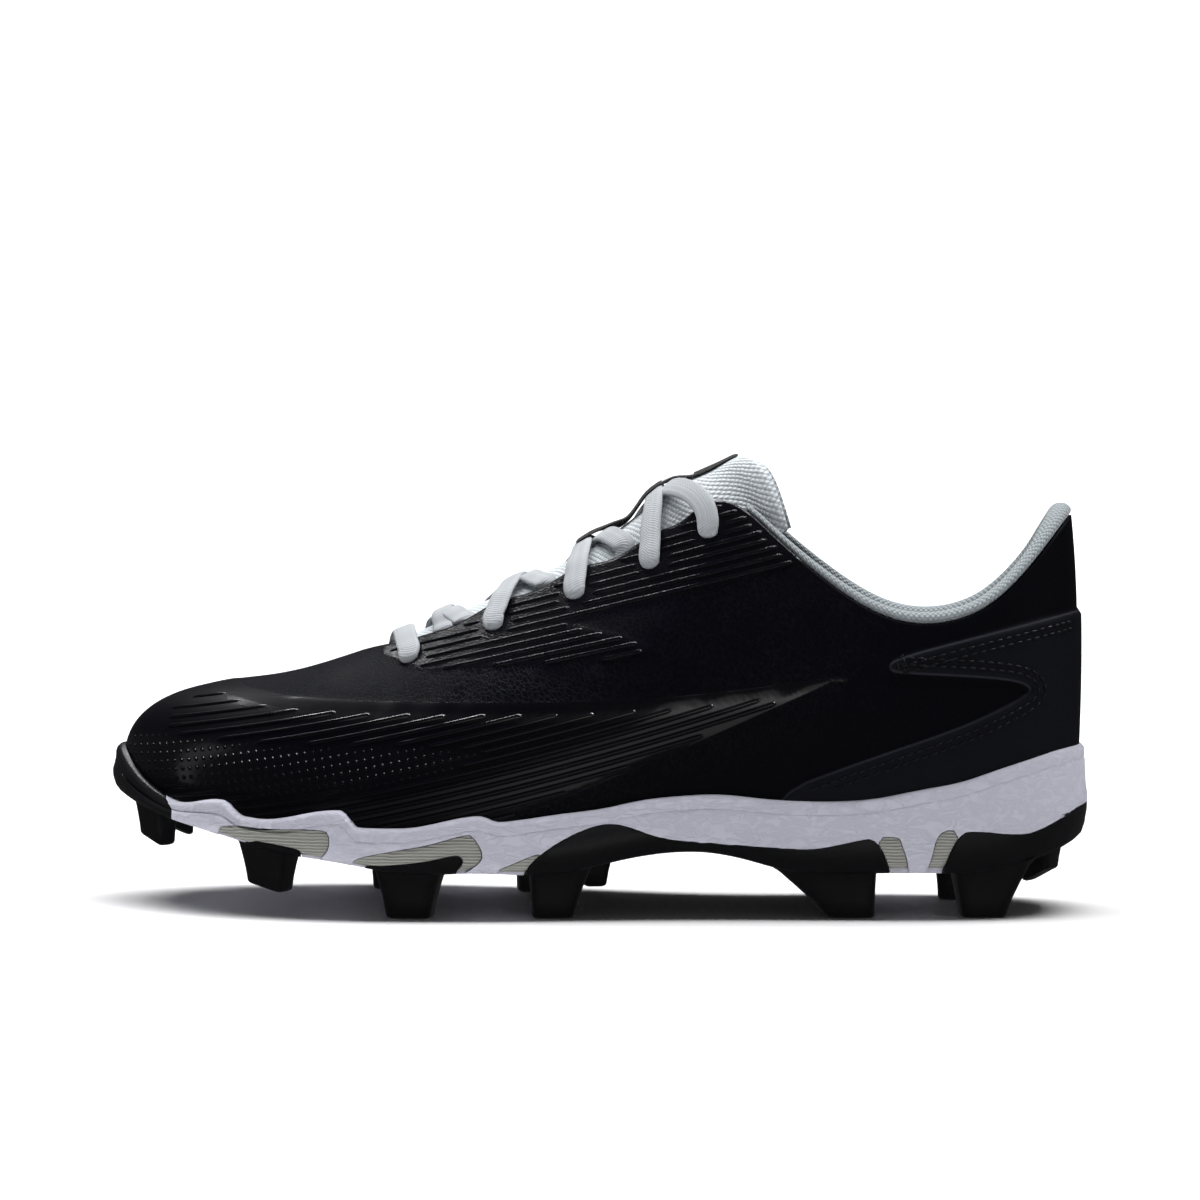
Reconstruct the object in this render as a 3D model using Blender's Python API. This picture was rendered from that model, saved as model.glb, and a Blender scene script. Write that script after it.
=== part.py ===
"""Softball cleat, left shoe: lasted upper, cupped midsole, studded outsole and lacing.

The toe points along -X, the outer (lateral) side faces -Y and the shoe stands on z = 0.
All sizes below are millimetres; meshes are written in metres.
"""

import math

import bmesh
import bpy
import numpy as np
from mathutils import Matrix, Vector

MM = 0.001
# Shift that sets the middle of the finished shoe over the origin
CENTRE = (2.2, 1.5, 0.0)

# Driving dimensions
LAST_LENGTH = 268.4
HEEL_BACK = 132.0
BALL_WIDTH = 90.0
HEEL_HEIGHT = 109.6
WALL = 2.0
GAP = 0.3
SOLE_GAP = 0.45

# Lasted sections from the heel centre to the toe centre.
# base: the feather edge, along in % of the last, out and in in % of the ball width, up in mm.
# top: collar, throat edge and vamp ridge, up in % of the heel height.
# lean and rise shape the wall at the sole, tilt, fall and pitch shape it at the top.
COLUMNS = (
    "base_along base_out base_in base_up top_along top_out top_in top_up lean rise tilt fall pitch"
)
SECTIONS = (
    (0.0, 0.0, 0.0, 31.5, 0.2, 0.0, 0.0, 100.0, 3, 0.33, 84, 0.33, 0.00),
    (1.7, -17.2, 16.7, 31.4, 1.8, -13.3, 13.3, 95.3, 4, 0.33, 84, 0.33, 0.00),
    (6.1, -28.3, 27.2, 31.1, 4.8, -22.0, 21.7, 86.3, 5, 0.33, 84, 0.33, 0.00),
    (11.6, -33.3, 31.7, 30.6, 9.1, -28.9, 28.3, 77.0, 7, 0.34, 84, 0.33, 0.00),
    (17.5, -35.6, 33.0, 29.8, 14.5, -32.4, 31.7, 73.0, 9, 0.35, 82, 0.33, 0.00),
    (23.8, -36.7, 31.9, 28.8, 20.1, -33.3, 32.2, 75.7, 10, 0.35, 78, 0.33, 0.00),
    (30.2, -37.8, 30.2, 27.6, 25.7, -31.6, 30.4, 84.5, 10, 0.36, 73, 0.32, 0.05),
    (36.1, -39.1, 30.0, 26.3, 30.7, -28.0, 26.9, 95.1, 10, 0.37, 67, 0.31, 0.12),
    (41.7, -41.1, 32.0, 25.0, 36.3, -23.1, 22.2, 103.7, 10, 0.38, 60, 0.30, 0.25),
    (47.3, -43.7, 35.6, 23.8, 42.7, -16.9, 16.7, 95.8, 10, 0.39, 52, 0.32, 0.40),
    (52.9, -46.7, 39.6, 22.6, 49.6, -15.1, 15.1, 87.9, 10, 0.40, 45, 0.34, 0.42),
    (58.5, -49.3, 43.1, 21.7, 56.1, -14.4, 14.8, 81.2, 10, 0.40, 40, 0.36, 0.42),
    (64.1, -51.1, 45.9, 21.0, 62.4, -13.8, 14.2, 74.5, 10, 0.40, 36, 0.38, 0.42),
    (69.7, -51.8, 47.8, 20.7, 68.2, -12.4, 13.3, 68.5, 10, 0.40, 31, 0.39, 0.42),
    (75.1, -50.2, 48.4, 21.0, 72.3, -8.7, 10.2, 66.2, 10, 0.39, 17, 0.40, 0.41),
    (80.3, -46.4, 47.2, 22.1, 74.3, 1.3, 1.3, 65.1, 11, 0.38, 0, 0.42, 0.38),
    (85.3, -40.7, 44.4, 23.9, 79.4, 2.7, 2.7, 61.1, 12, 0.38, 0, 0.43, 0.22),
    (90.0, -32.2, 39.8, 26.3, 84.0, 4.0, 4.0, 58.6, 12, 0.38, 0, 0.45, 0.14),
    (94.1, -21.7, 32.8, 29.0, 87.9, 5.3, 5.3, 57.4, 12, 0.39, 0, 0.47, 0.18),
    (97.3, -9.8, 23.9, 31.4, 90.7, 6.4, 6.4, 56.1, 12, 0.40, 0, 0.50, 0.22),
    (99.3, 0.0, 15.9, 32.6, 92.1, 7.1, 7.1, 55.3, 12, 0.40, 0, 0.52, 0.25),
    (100.0, 7.8, 7.8, 33.0, 92.6, 7.3, 7.3, 55.0, 12, 0.40, 0, 0.52, 0.26),
)
TOE = len(SECTIONS) - 1
THROAT_FRONT = 15
UPPER_STEP = 0.5
UPPER_ROWS = 6

# Sole side, seen from the outer side: top edge of the midsole without its crests
RIM_LINE = (
    (132, 46.2), (127, 45.7), (120, 43.8), (111, 41.0), (100, 37.4), (90, 35.5), (79, 33.3),
    (62, 32.3), (47, 32.9), (36, 34.0), (25, 33.7), (14, 32.5), (4, 30.4), (-7, 29.0),
    (-20, 27.2), (-32, 26.2), (-46, 25.3), (-60, 25.2), (-75, 25.9), (-90, 27.0),
    (-105, 28.9), (-115, 30.4), (-122, 33.2), (-130, 38.3), (-136.4, 44.4),
)
# Crests of that edge (peak, height, ramp, drop): a long ramp from the toe side, a short drop
# on the heel side
CRESTS = (
    (-99.5, 3.3, 16.0, 6.0),
    (-66.0, 4.4, 24.0, 5.0),
    (-29.5, 2.2, 20.0, 6.5),
)
# Underside of the sole without its studs
BASE_LINE = (
    (132, 20.5), (122, 16.4), (110, 13.4), (88, 12.6), (66, 12.4), (54, 13.2), (44, 15.8),
    (32, 18.1), (20, 17.9), (8, 15.9), (-8, 12.6), (-30, 12.8), (-48, 12.6), (-66, 15.4),
    (-80, 17.2), (-95, 20.4), (-108, 23.4), (-122, 26.6), (-136.4, 31.0),
)
RIM_WIDTH = 1.7
RIM_BEVEL = 3.0
BEVEL_OUT = 3.3
WALL_OUT = 4.2
FOOT_OUT = 3.4
BASE_IN = 0.4
SIDE_WALL = 3.0
PLATE = 3.0
SOLE_STEP = 0.5
INSOLE_STEP = 1.0
INSERT_RECESS = 0.4

# Black outsole pieces, side outlines; each runs down past the underside
TOE_PIECE = (
    (-150, 60), (-119.5, 60), (-119.5, 32.1), (-115.7, 28), (-115.4, 26.6), (-116.4, 23),
    (-116.4, 0), (-150, 0),
)
FRONT_PIECE = ((-96, 0), (-95.4, 21.6), (-79, 19), (-76.8, 17.8), (-76, 0))
BALL_PIECE = (
    (-63.2, 0), (-62.7, 14.9), (-51.8, 15), (-43.4, 15.6), (-36.1, 17.5), (-33.9, 17.7),
    (-32.9, 16.1), (-35.6, 12.4), (-35.6, 0),
)
ARCH_PIECE = (
    (-17, 0), (-16.8, 12.6), (-12, 18), (-1.7, 23.5), (3.7, 25.7), (7.5, 26.3), (11, 25.9),
    (19.9, 22.6), (27, 21.4), (57.5, 18.8), (63.5, 19.2), (73.4, 21.5), (78.9, 22.4), (83.2, 12),
    (83.2, 0),
)
HEEL_PIECE = (
    (96.2, 0), (96.2, 12), (101.3, 23.6), (106, 24.1), (116.6, 23), (122.4, 23.6), (133.4, 29.2),
    (145, 31), (145, 0),
)
BLACK_PIECES = {
    "outsole_toe": TOE_PIECE,
    "outsole_front": FRONT_PIECE,
    "outsole_ball": BALL_PIECE,
    "outsole_arch": ARCH_PIECE,
    "outsole_heel": HEEL_PIECE,
}
# Ends of a cut right across the shoe, and of a cut into one side only
FULL_NEAR = -70.0
FULL_FAR = 70.0
SPLIT = 6.0
# Grey inserts in the side of the sole: the black piece that each one borders, its side outline
INSERTS = {
    "insert_front": (
        "outsole_front",
        (
            (-100.8, 0), (-100.8, 23.4), (-97, 24.7), (-85.8, 23.8), (-70.8, 24.6), (-69.6, 23),
            (-69.6, 19.7), (-72.5, 16), (-72.5, 0),
        ),
    ),
    "insert_ball": (
        "outsole_ball",
        (
            (-63.8, 0), (-63.8, 15.2), (-61.5, 17.4), (-51.8, 19), (-43.4, 20.1), (-32, 23.7),
            (-30.2, 22.9), (-27.8, 19), (-28.4, 16.2), (-34.8, 12), (-34.8, 0),
        ),
    ),
    "insert_waist": (
        "outsole_arch",
        ((-24.9, 0), (-24.8, 13.4), (-19.8, 15.3), (-12.6, 18.3), (-11.6, 17), (-11.6, 0)),
    ),
    "insert_heel_front": (
        "outsole_arch",
        ((78.4, 22.6), (84.4, 22.6), (85.3, 21.7), (88, 13), (88, 0), (81, 0)),
    ),
    "insert_heel_rear": (
        "outsole_heel",
        ((95.6, 24.3), (102, 24.4), (99, 0), (91.7, 0), (91.9, 12.4), (93.8, 15.7)),
    ),
}
# The flex lines run forward across the foot: share of x lost for each mm towards the inner side
SKEW_LINE = ((-140, 0.04), (-119, 0.04), (-97, 0.17), (-5, 0.17), (25, 0.08), (140, 0.07))
SKEW_SIDE = -47.0

# Studs: piece, x, y, root_long, root_wide, tip_long, tip_wide, turn about the vertical, slide of
# the tip along the stud, tip_front and tip_back heights
STUDS = (
    ("outsole_toe", -125.2, -8.0, 11, 9.5, 8.5, 7, -33, 0.6, 19.6, 16.4),
    ("outsole_toe", -125.8, 20.5, 10.5, 9, 8.5, 7, 33, 0.6, 19.6, 16.4),
    ("outsole_front", -88.2, -34.0, 16, 13, 11, 8.5, -20, 0.3, 8.8, 6.4),
    ("outsole_front", -99.6, 33.0, 16, 12, 11, 8, 20, 0.0, 12.4, 9.6),
    ("outsole_ball", -48.6, -38.0, 20, 14, 12.5, 9.5, -3, 0.0, 0.0, 0.0),
    ("outsole_ball", -61.5, 34.5, 20, 14, 16, 9.5, 4, 0.0, 0.0, 0.0),
    ("outsole_arch", -7.5, -34.0, 18, 13, 11.5, 9, 9, -2.5, 0.0, 0.0),
    ("outsole_arch", -20.0, 30.5, 14.5, 12, 11, 8.5, 14, -1.2, 0.0, 0.0),
    ("outsole_arch", -3.0, 27.0, 11, 9, 6.5, 6, 16, -1.0, 2.0, 2.0),
    ("outsole_arch", 62.5, -26.5, 31, 14.5, 13.5, 10, 3, 8.1, 0.0, 0.0),
    ("outsole_arch", 60.5, 21.5, 29, 13.5, 13.5, 9.5, -3, 3.7, 0.0, 0.0),
    ("outsole_heel", 109.5, -21.5, 23.5, 14.5, 12.5, 10, 10, -3.0, 0.0, 0.0),
    ("outsole_heel", 102.5, 19.5, 17, 13, 12.5, 9.5, -10, -1.0, 0.0, 0.0),
    ("outsole_heel", 123.0, 8.0, 13, 12, 8.5, 8, -30, 0.5, 6.6, 10.4),
)
STUD_ROOT = 0.5
STUD_CORNER = 0.22

# Heel counter overlay, side outline above the midsole's edge
COUNTER = (
    (150, 85.5), (134, 83.4), (120.3, 80.2), (96, 74.2), (84, 70.8), (81.6, 69.4), (81.6, 67.8),
    (84, 67.0), (106.2, 65.9), (116.2, 64.6), (119.6, 62.8), (119.4, 61.2), (112.4, 57.3),
    (100.3, 51.8), (73.4, 42.7), (50.5, 34.5),
)
COUNTER_THICK = 0.9
COUNTER_REACH = 7.5
COUNTER_FOOT = (56, 133, 11)
COUNTER_CLEAR = 0.8

# Collar roll and lining: offsets from the outside of the upper, heights above its edge
PAD_SECTION = (
    (-0.1, 0.4), (0.1, 2.2), (-1.8, 3.8), (-5.0, 3.6), (-7.8, 0.0), (-8.6, -9.0), (-7.0, -20.0),
    (-3.8, -29.0), (-2.45, -29.0), (-2.45, -20.0), (-2.45, -9.0), (-2.45, 0.4),
)
PAD_FULL = 4.5
PAD_END = 7.5
PAD_THIN = 0.34
PAD_LEAST = 3.7
PAD_STEP = 0.5

# Tongue: height of its crown over the throat edges at each section
CROWN_LINE = (
    (8.7, 13.5), (9.0, 12.4), (9.5, 10.2), (10.0, 7.6), (11.0, 5.4), (12.0, 5.0), (13.0, 4.6),
    (14.0, 2.6), (15.0, 0.2), (17.0, 0.0),
)
TONGUE_THICK = 3.4
TONGUE_CLEAR = 1.1
# Stations under the vamp, how low it reaches there, and station and reach under the eyestays
TONGUE_HIDDEN = (16.5, 16.0, 15.5, 15.0)
TONGUE_LOW = 0.78
TONGUE_SHOWN = (
    (14.5, 0.76), (14.0, 0.76), (13.0, 0.76), (12.0, 0.76), (11.0, 0.76), (10.0, 0.81),
    (9.4, 0.85), (8.9, 0.875),
)
# Facets across: on each side and over the throat
TONGUE_PARTS = (2, 6)
# Free end of the tongue: centre_x, centre_z, edge_x, edge_y, edge_z and how square its shoulders are
TONGUE_TOP = (
    (29.5, 121.6, 40.5, 15.0, 106.5, 2.0),
    (36.0, 124.8, 48.5, 14.8, 105.0, 3.5),
    (40.0, 126.4, 54.5, 14.4, 103.0, 5.0),
)

# Lace holes: section of each row and their distance from the throat edge
EYELET_ROWS = (13.0, 11.55, 10.25, 9.1, 8.15)
INNER_ROWS = (13.7, 12.1, 10.85, 9.85, 9.0)
EYELET_IN = 9.5
EYELET_DIAMETER = 5.0
LACE_WIDE = 6.4
LACE_THICK = 1.7
LACE_LIFT = 0.6
# Ends of a strand: out to a hole, or at the throat edge where it passes under, with the share of
# the way to the next row at which it leaves there or goes under
LACE_REACH = 1.75
LACE_EDGE = 0.92
LACE_LEAVE = (0.34, 0.50)
LACE_UNDER = (0.60, 0.75)
LACE_SINK = 1.9
LACE_STEPS = 6

INSOLE_THICK = 4.0
INSOLE_CLEAR = 0.6


def spline(knots, values):
    """Natural cubic spline through the given values, as a function of the knot coordinate."""
    x = np.asarray(knots, float)
    y = np.asarray(values, float)
    h = np.diff(x)
    system = np.eye(len(x))
    right = np.zeros(len(x))
    for i in range(1, len(x) - 1):
        system[i, i - 1 : i + 2] = h[i - 1], 2 * (h[i - 1] + h[i]), h[i]
        right[i] = 6 * ((y[i + 1] - y[i]) / h[i] - (y[i] - y[i - 1]) / h[i - 1])
    bend = np.linalg.solve(system, right)

    def at(t):
        i = int(np.clip(np.searchsorted(x, t) - 1, 0, len(x) - 2))
        a = (x[i + 1] - t) / h[i]
        b = 1 - a
        curl = (a**3 - a) * bend[i] + (b**3 - b) * bend[i + 1]
        return a * y[i] + b * y[i + 1] + curl * h[i] ** 2 / 6

    return at


def line_track(rows):
    """Spline along x through (x, value) rows given in any order."""
    rows = sorted(rows)
    return spline([r[0] for r in rows], [r[1] for r in rows])


def column(name, scale=1.0):
    """One column of the section table."""
    i = COLUMNS.split().index(name)
    return [row[i] * scale for row in SECTIONS]


def ring_track(outer, inner):
    """Closed spline round the shoe: heel 0, outer rows positive, inner rows negative."""
    pad = 5
    stations = list(range(-TOE - pad, TOE + pad + 1))
    values = []
    for q in stations:
        q = wrap(q)
        values.append(outer[q] if q >= 0 else inner[-q])
    return spline(stations, values)


def ridge_track(values):
    """Spline along the vamp ridge, mirrored at the toe so that it ends level."""
    tail = values[THROAT_FRONT:]
    return spline(range(THROAT_FRONT, THROAT_FRONT + 2 * len(tail) - 1), tail + tail[-2::-1])


def topline_track(outer, inner):
    """Open spline along collar and throat edge, from throat front to throat front."""
    stations = range(-THROAT_FRONT, THROAT_FRONT + 1)
    return spline(stations, [outer[q] if q >= 0 else inner[-q] for q in stations])


def wrap(q):
    """Bring a station past the toe back on the other side."""
    if q > TOE:
        return q - 2 * TOE
    if q < -TOE:
        return q + 2 * TOE
    return q


BASE_X = column("base_along", -LAST_LENGTH / 100)
BASE_X = [HEEL_BACK + x for x in BASE_X]
TOP_X = [HEEL_BACK + x for x in column("top_along", -LAST_LENGTH / 100)]
TOP_Z = column("top_up", HEEL_HEIGHT / 100)
HALF = BALL_WIDTH / 100
base_x = ring_track(BASE_X, BASE_X)
base_y = ring_track(column("base_out", HALF), column("base_in", HALF))
base_z = ring_track(column("base_up"), column("base_up"))
edge_x = topline_track(TOP_X, TOP_X)
edge_y = topline_track(column("top_out", HALF), column("top_in", HALF))
edge_z = topline_track(TOP_Z, TOP_Z)
ridge_x = ridge_track(TOP_X)
ridge_y = ridge_track(column("top_out", HALF))
ridge_z = ridge_track(TOP_Z)
shape = {n: ring_track(column(n), column(n)) for n in ("lean", "rise", "tilt", "fall", "pitch")}
rim_line = line_track(RIM_LINE)
base_line = line_track(BASE_LINE)


def skew_line(x):
    """Slant of the flex lines at a place along the shoe."""
    return np.interp(x, [row[0] for row in SKEW_LINE], [row[1] for row in SKEW_LINE])


def feather(q):
    """Point of the feather edge where the upper meets the sole."""
    return np.array((base_x(q), base_y(q), base_z(q)))


def outward(q):
    """Plan direction that points out of the shoe at a station."""
    step = 0.02
    along_x = base_x(q + step) - base_x(q - step)
    along_y = base_y(q + step) - base_y(q - step)
    size = math.hypot(along_x, along_y)
    return np.array((-along_y / size, along_x / size, 0.0))


def top_edge(q):
    """Point of the collar, the throat edge or the ridge at a station."""
    if abs(q) >= THROAT_FRONT:
        return np.array((ridge_x(abs(q)), ridge_y(abs(q)), ridge_z(abs(q))))
    return np.array((edge_x(q), edge_y(q), edge_z(q)))


def last_point(q, v):
    """Outside of the upper at a station, from the sole (v = 0) to the top edge (v = 1)."""
    q = wrap(q)
    low = feather(q)
    high = top_edge(q)
    out = outward(q)
    up = np.array((0.0, 0.0, 1.0))
    chord = np.linalg.norm(high - low)
    lean = math.radians(shape["lean"](q))
    tilt = math.radians(shape["tilt"](q))
    level = out * math.cos(tilt)
    drop = math.sin(tilt) - shape["pitch"](q) * level[0]
    low_pull = low + shape["rise"](q) * chord * (out * math.sin(lean) + up * math.cos(lean))
    high_pull = high + shape["fall"](q) * chord * (level - up * drop)
    w = 1 - v
    return w**3 * low + 3 * w * w * v * low_pull + 3 * w * v * v * high_pull + v**3 * high


def last_normal(q, v):
    """Outward unit normal of the upper."""
    dq, dv = 0.03, 0.015
    along = last_point(q + dq, v) - last_point(q - dq, v)
    rise = last_point(q, min(v + dv, 1.0)) - last_point(q, max(v - dv, 0.0))
    normal = np.cross(rise, along)
    return normal / np.linalg.norm(normal)


def offset_point(q, v, distance):
    """Point at a distance outside the upper."""
    return last_point(q, v) + distance * last_normal(q, v)


def height_on_last(q, z):
    """Share v at which the upper reaches a height."""
    low, high = 0.0, 1.0
    for _ in range(24):
        middle = (low + high) / 2
        if last_point(q, middle)[2] < z:
            low = middle
        else:
            high = middle
    return low


def depth_on_last(q, depth):
    """Share v that lies a given way below the top edge, measured along the wall."""
    v = 1.0
    walked = 0.0
    here = last_point(q, v)
    while walked < depth and v > 0.02:
        v -= 0.004
        there = last_point(q, v)
        walked += np.linalg.norm(there - here)
        here = there
    return v


def station_at(x):
    """Station at which the feather edge reaches a place along the shoe."""
    low, high = 0.0, float(TOE)
    for _ in range(30):
        middle = (low + high) / 2
        if base_x(middle) > x:
            low = middle
        else:
            high = middle
    return low


def rim_height(x):
    """Top edge of the midsole with its crests."""
    z = rim_line(x)
    for peak, height, ramp, drop in CRESTS:
        share = 1 - ((peak - x) / ramp if x < peak else (x - peak) / drop)
        share = min(max(share, 0.0), 1.0)
        z += height * share * share * (3 - 2 * share)
    return z


def ring_columns(step):
    """Stations round the shoe in order: heel, outer side, toe, inner side."""
    count = round(TOE / step)
    half = [i * TOE / count for i in range(count + 1)]
    return half + [-q for q in half[-2:0:-1]]


def sole_columns():
    """Stations round the sole, with one at the peak and at the foot of each crest."""
    crests = []
    for peak, _, _, drop in CRESTS:
        crests += [station_at(peak), station_at(peak + drop)]
    half = [i * SOLE_STEP for i in range(round(TOE / SOLE_STEP) + 1)]
    half = [q for q in half if min(abs(q - c) for c in crests) > SOLE_STEP / 3]
    half = sorted(half + crests)
    return half + [-q for q in half[-2:0:-1]]


def clear_scene():
    for ob in list(bpy.data.objects):
        bpy.data.objects.remove(ob, do_unlink=True)


def material(name, colour, roughness):
    mat = bpy.data.materials.new(name)
    mat.use_nodes = True
    shader = mat.node_tree.nodes["Principled BSDF"]
    shader.inputs["Base Color"].default_value = (*colour, 1.0)
    shader.inputs["Roughness"].default_value = roughness
    shader.inputs["Metallic"].default_value = 0.0
    mat.diffuse_color = (*colour, 1.0)
    return mat


def make_object(name, points, faces, mat=None, closed=True):
    """Mesh object from points in millimetres."""
    mesh = bpy.data.meshes.new(name)
    bm = bmesh.new()
    verts = [bm.verts.new(Vector(p) * MM) for p in points]
    for face in faces:
        bm.faces.new([verts[i] for i in face])
    bmesh.ops.remove_doubles(bm, verts=bm.verts, dist=0.00001)
    if closed:
        bmesh.ops.recalc_face_normals(bm, faces=bm.faces)
    bm.to_mesh(mesh)
    bm.free()
    mesh.shade_smooth()
    mesh.set_sharp_from_angle(angle=math.radians(35))
    ob = bpy.data.objects.new(name, mesh)
    place_object(ob, mat)
    return ob


def place_object(ob, mat):
    """Hang an object on the shoe; without a material it is a hidden cutter."""
    bpy.context.scene.collection.objects.link(ob)
    ob.parent = bpy.data.objects["shoe"]
    if mat is None:
        ob.hide_render = True
        ob.display_type = "WIRE"
    else:
        ob.data.materials.append(mat)


def solidify(ob, thickness, side):
    """Give a sheet its thickness: side -1 grows inwards, +1 outwards."""
    mod = ob.modifiers.new("Thickness", "SOLIDIFY")
    mod.thickness = thickness * MM
    mod.offset = side
    mod.use_even_offset = True
    mod.use_quality_normals = True


def boolean(ob, operation, cutter):
    mod = ob.modifiers.new(operation.title(), "BOOLEAN")
    mod.operation = operation
    mod.solver = "EXACT"
    mod.object = cutter


def grid_faces(rows, columns):
    """Quads of a grid of points stored row after row."""
    faces = []
    for r in range(rows - 1):
        for c in range(columns - 1):
            a = r * columns + c
            faces.append((a, a + 1, a + columns + 1, a + columns))
    return faces


def ring_faces(rings, size):
    """Quads between closed rings of points stored ring after ring."""
    faces = []
    for r in range(rings - 1):
        for c in range(size):
            d = (c + 1) % size
            faces.append((r * size + c, r * size + d, (r + 1) * size + d, (r + 1) * size + c))
    return faces


def across_faces(start, size):
    """Strips that close a ring round the shoe from the outer to the inner side."""
    toe = size // 2
    faces = [(start, start + 1, start + size - 1)]
    for i in range(1, toe - 1):
        faces.append((start + i, start + i + 1, start + size - i - 1, start + size - i))
    faces.append((start + toe - 1, start + toe, start + toe + 1))
    return faces


def stacked_solid(name, rings, mat=None):
    """Closed solid from rings round the shoe, closed across at both ends."""
    size = len(rings[0])
    points = [p for ring in rings for p in ring]
    faces = ring_faces(len(rings), size)
    faces += across_faces(0, size)
    faces += across_faces((len(rings) - 1) * size, size)
    return make_object(name, points, faces, mat)


def section_loft(name, sections, mat=None):
    """Closed solid through a row of closed sections, capped at both ends."""
    size = len(sections[0])
    points = [p for section in sections for p in section]
    faces = ring_faces(len(sections), size)
    faces.append(tuple(range(size)))
    faces.append(tuple(range((len(sections) - 1) * size, len(sections) * size)))
    return make_object(name, points, faces, mat)


def build_upper(mat):
    columns = ring_columns(UPPER_STEP)
    columns.append(columns[0])
    rows = UPPER_ROWS + 1
    points = [last_point(q, r / UPPER_ROWS) for q in columns for r in range(rows)]
    faces = grid_faces(len(columns), rows)
    upper = make_object("upper", points, faces, mat, closed=False)
    solidify(upper, WALL, -1)
    boolean(upper, "DIFFERENCE", eyelet_cutter())
    return upper


def eyelet_cutter():
    """Round punches through the upper at each lace hole, joined in one cutter."""
    bm = bmesh.new()
    for q in EYELET_ROWS + tuple(-row for row in INNER_ROWS):
        v = depth_on_last(q, EYELET_IN)
        centre = Vector(last_point(q, v)) * MM
        axis = Vector(last_normal(q, v))
        turn = Vector((0, 0, 1)).rotation_difference(axis).to_matrix().to_4x4()
        bmesh.ops.create_cone(
            bm,
            cap_ends=True,
            segments=8,
            radius1=EYELET_DIAMETER / 2 * MM,
            radius2=EYELET_DIAMETER / 2 * MM,
            depth=4 * WALL * MM,
            matrix=Matrix.Translation(centre) @ turn,
        )
    mesh = bpy.data.meshes.new("eyelet_punches")
    bm.to_mesh(mesh)
    bm.free()
    cutter = bpy.data.objects.new("eyelet_punches", mesh)
    place_object(cutter, None)
    return cutter


def wall_points(q, recess):
    """Outer side of the sole at a station: bevel, fullest point, foot and underside edge."""
    low = feather(q)
    out = outward(q)
    rim = rim_height(low[0])
    base = base_line(low[0])
    points = []
    for reach, z in (
        (BEVEL_OUT, rim - RIM_BEVEL),
        (WALL_OUT, rim - 0.55 * (rim - base)),
        (FOOT_OUT, base + 0.14 * (rim - base)),
        (-BASE_IN, base),
    ):
        point = low + out * (reach - recess)
        point[2] = z
        points.append(point)
    return points


def sole_rings():
    """Rings of the whole sole block without studs, from footbed edge over the rim to the base."""
    sections = []
    for q in sole_columns():
        low = feather(q)
        rim = rim_height(low[0])
        v = height_on_last(q, rim)
        floor = low + outward(q) * GAP
        floor[2] = low[2] - GAP
        lip = offset_point(q, v, GAP + RIM_WIDTH)
        lip[2] = rim - GAP
        inside = [floor, offset_point(q, v / 2, GAP), offset_point(q, v, GAP), lip]
        sections.append(inside + wall_points(q, 0.0))
    return [list(ring) for ring in zip(*sections)]


def insert_band(name, mat):
    """Band in the side of the sole from which the inserts are parted."""
    rings = []
    for q in sole_columns():
        bevel, full, foot, under = wall_points(q, INSERT_RECESS)
        inset = WALL_OUT - SIDE_WALL - GAP
        inner = feather(q) + outward(q) * inset
        share = (inset + BASE_IN + INSERT_RECESS) / (FOOT_OUT + BASE_IN)
        inner[2] = under[2] + (foot[2] - under[2]) * share
        top = inner.copy()
        top[2] = bevel[2]
        rings.append([bevel, full, foot, inner, top])
    size = len(rings)
    loops = [list(ring) for ring in zip(*rings)]
    loops.append(loops[0])
    points = [p for loop in loops for p in loop]
    return make_object(name, points, ring_faces(len(loops), size), mat)


def core_solid(name, outset, floor):
    """Heart of the midsole inside its side wall, from a height above the underside upwards."""
    low_ring = []
    high_ring = []
    for q in ring_columns(UPPER_STEP):
        point = feather(q) + outward(q) * outset
        low_ring.append((point[0], point[1], base_line(point[0]) + floor))
        high_ring.append((point[0], point[1], HEEL_HEIGHT))
    return stacked_solid(name, [low_ring, high_ring])


def grow(outline, distance):
    """Outline moved outwards by a distance, with mitred corners."""
    count = len(outline)
    area = 0.0
    for i in range(count):
        (ax, az), (bx, bz) = outline[i], outline[(i + 1) % count]
        area += ax * bz - bx * az
    sign = 1 if area > 0 else -1
    grown = []
    for i in range(count):
        here = Vector(outline[i])
        before = (here - Vector(outline[i - 1])).normalized()
        after = (Vector(outline[(i + 1) % count]) - here).normalized()
        normal_before = Vector((before.y, -before.x)) * sign
        normal_after = Vector((after.y, -after.x)) * sign
        bisector = (normal_before + normal_after).normalized()
        grown.append(tuple(here + bisector * distance / max(bisector.dot(normal_after), 0.4)))
    return grown


def prism_cutter(name, outline, near, far, skewed=True):
    """Hidden cutter: a side outline carried across the shoe, along the flex lines if skewed."""
    size = len(outline)
    points = []
    for y in (near, far):
        for x, z in outline:
            along = x
            if skewed:
                along = x - skew_line(x) * (y - SKEW_SIDE)
            lift = base_line(along) - base_line(x) if abs(x) < HEEL_BACK else 0.0
            points.append((along, y, z + lift))
    faces = [tuple(range(size)), tuple(range(size, 2 * size))]
    for i in range(size):
        j = (i + 1) % size
        faces.append((i, j, size + j, size + i))
    return make_object(name, points, faces)


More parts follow.
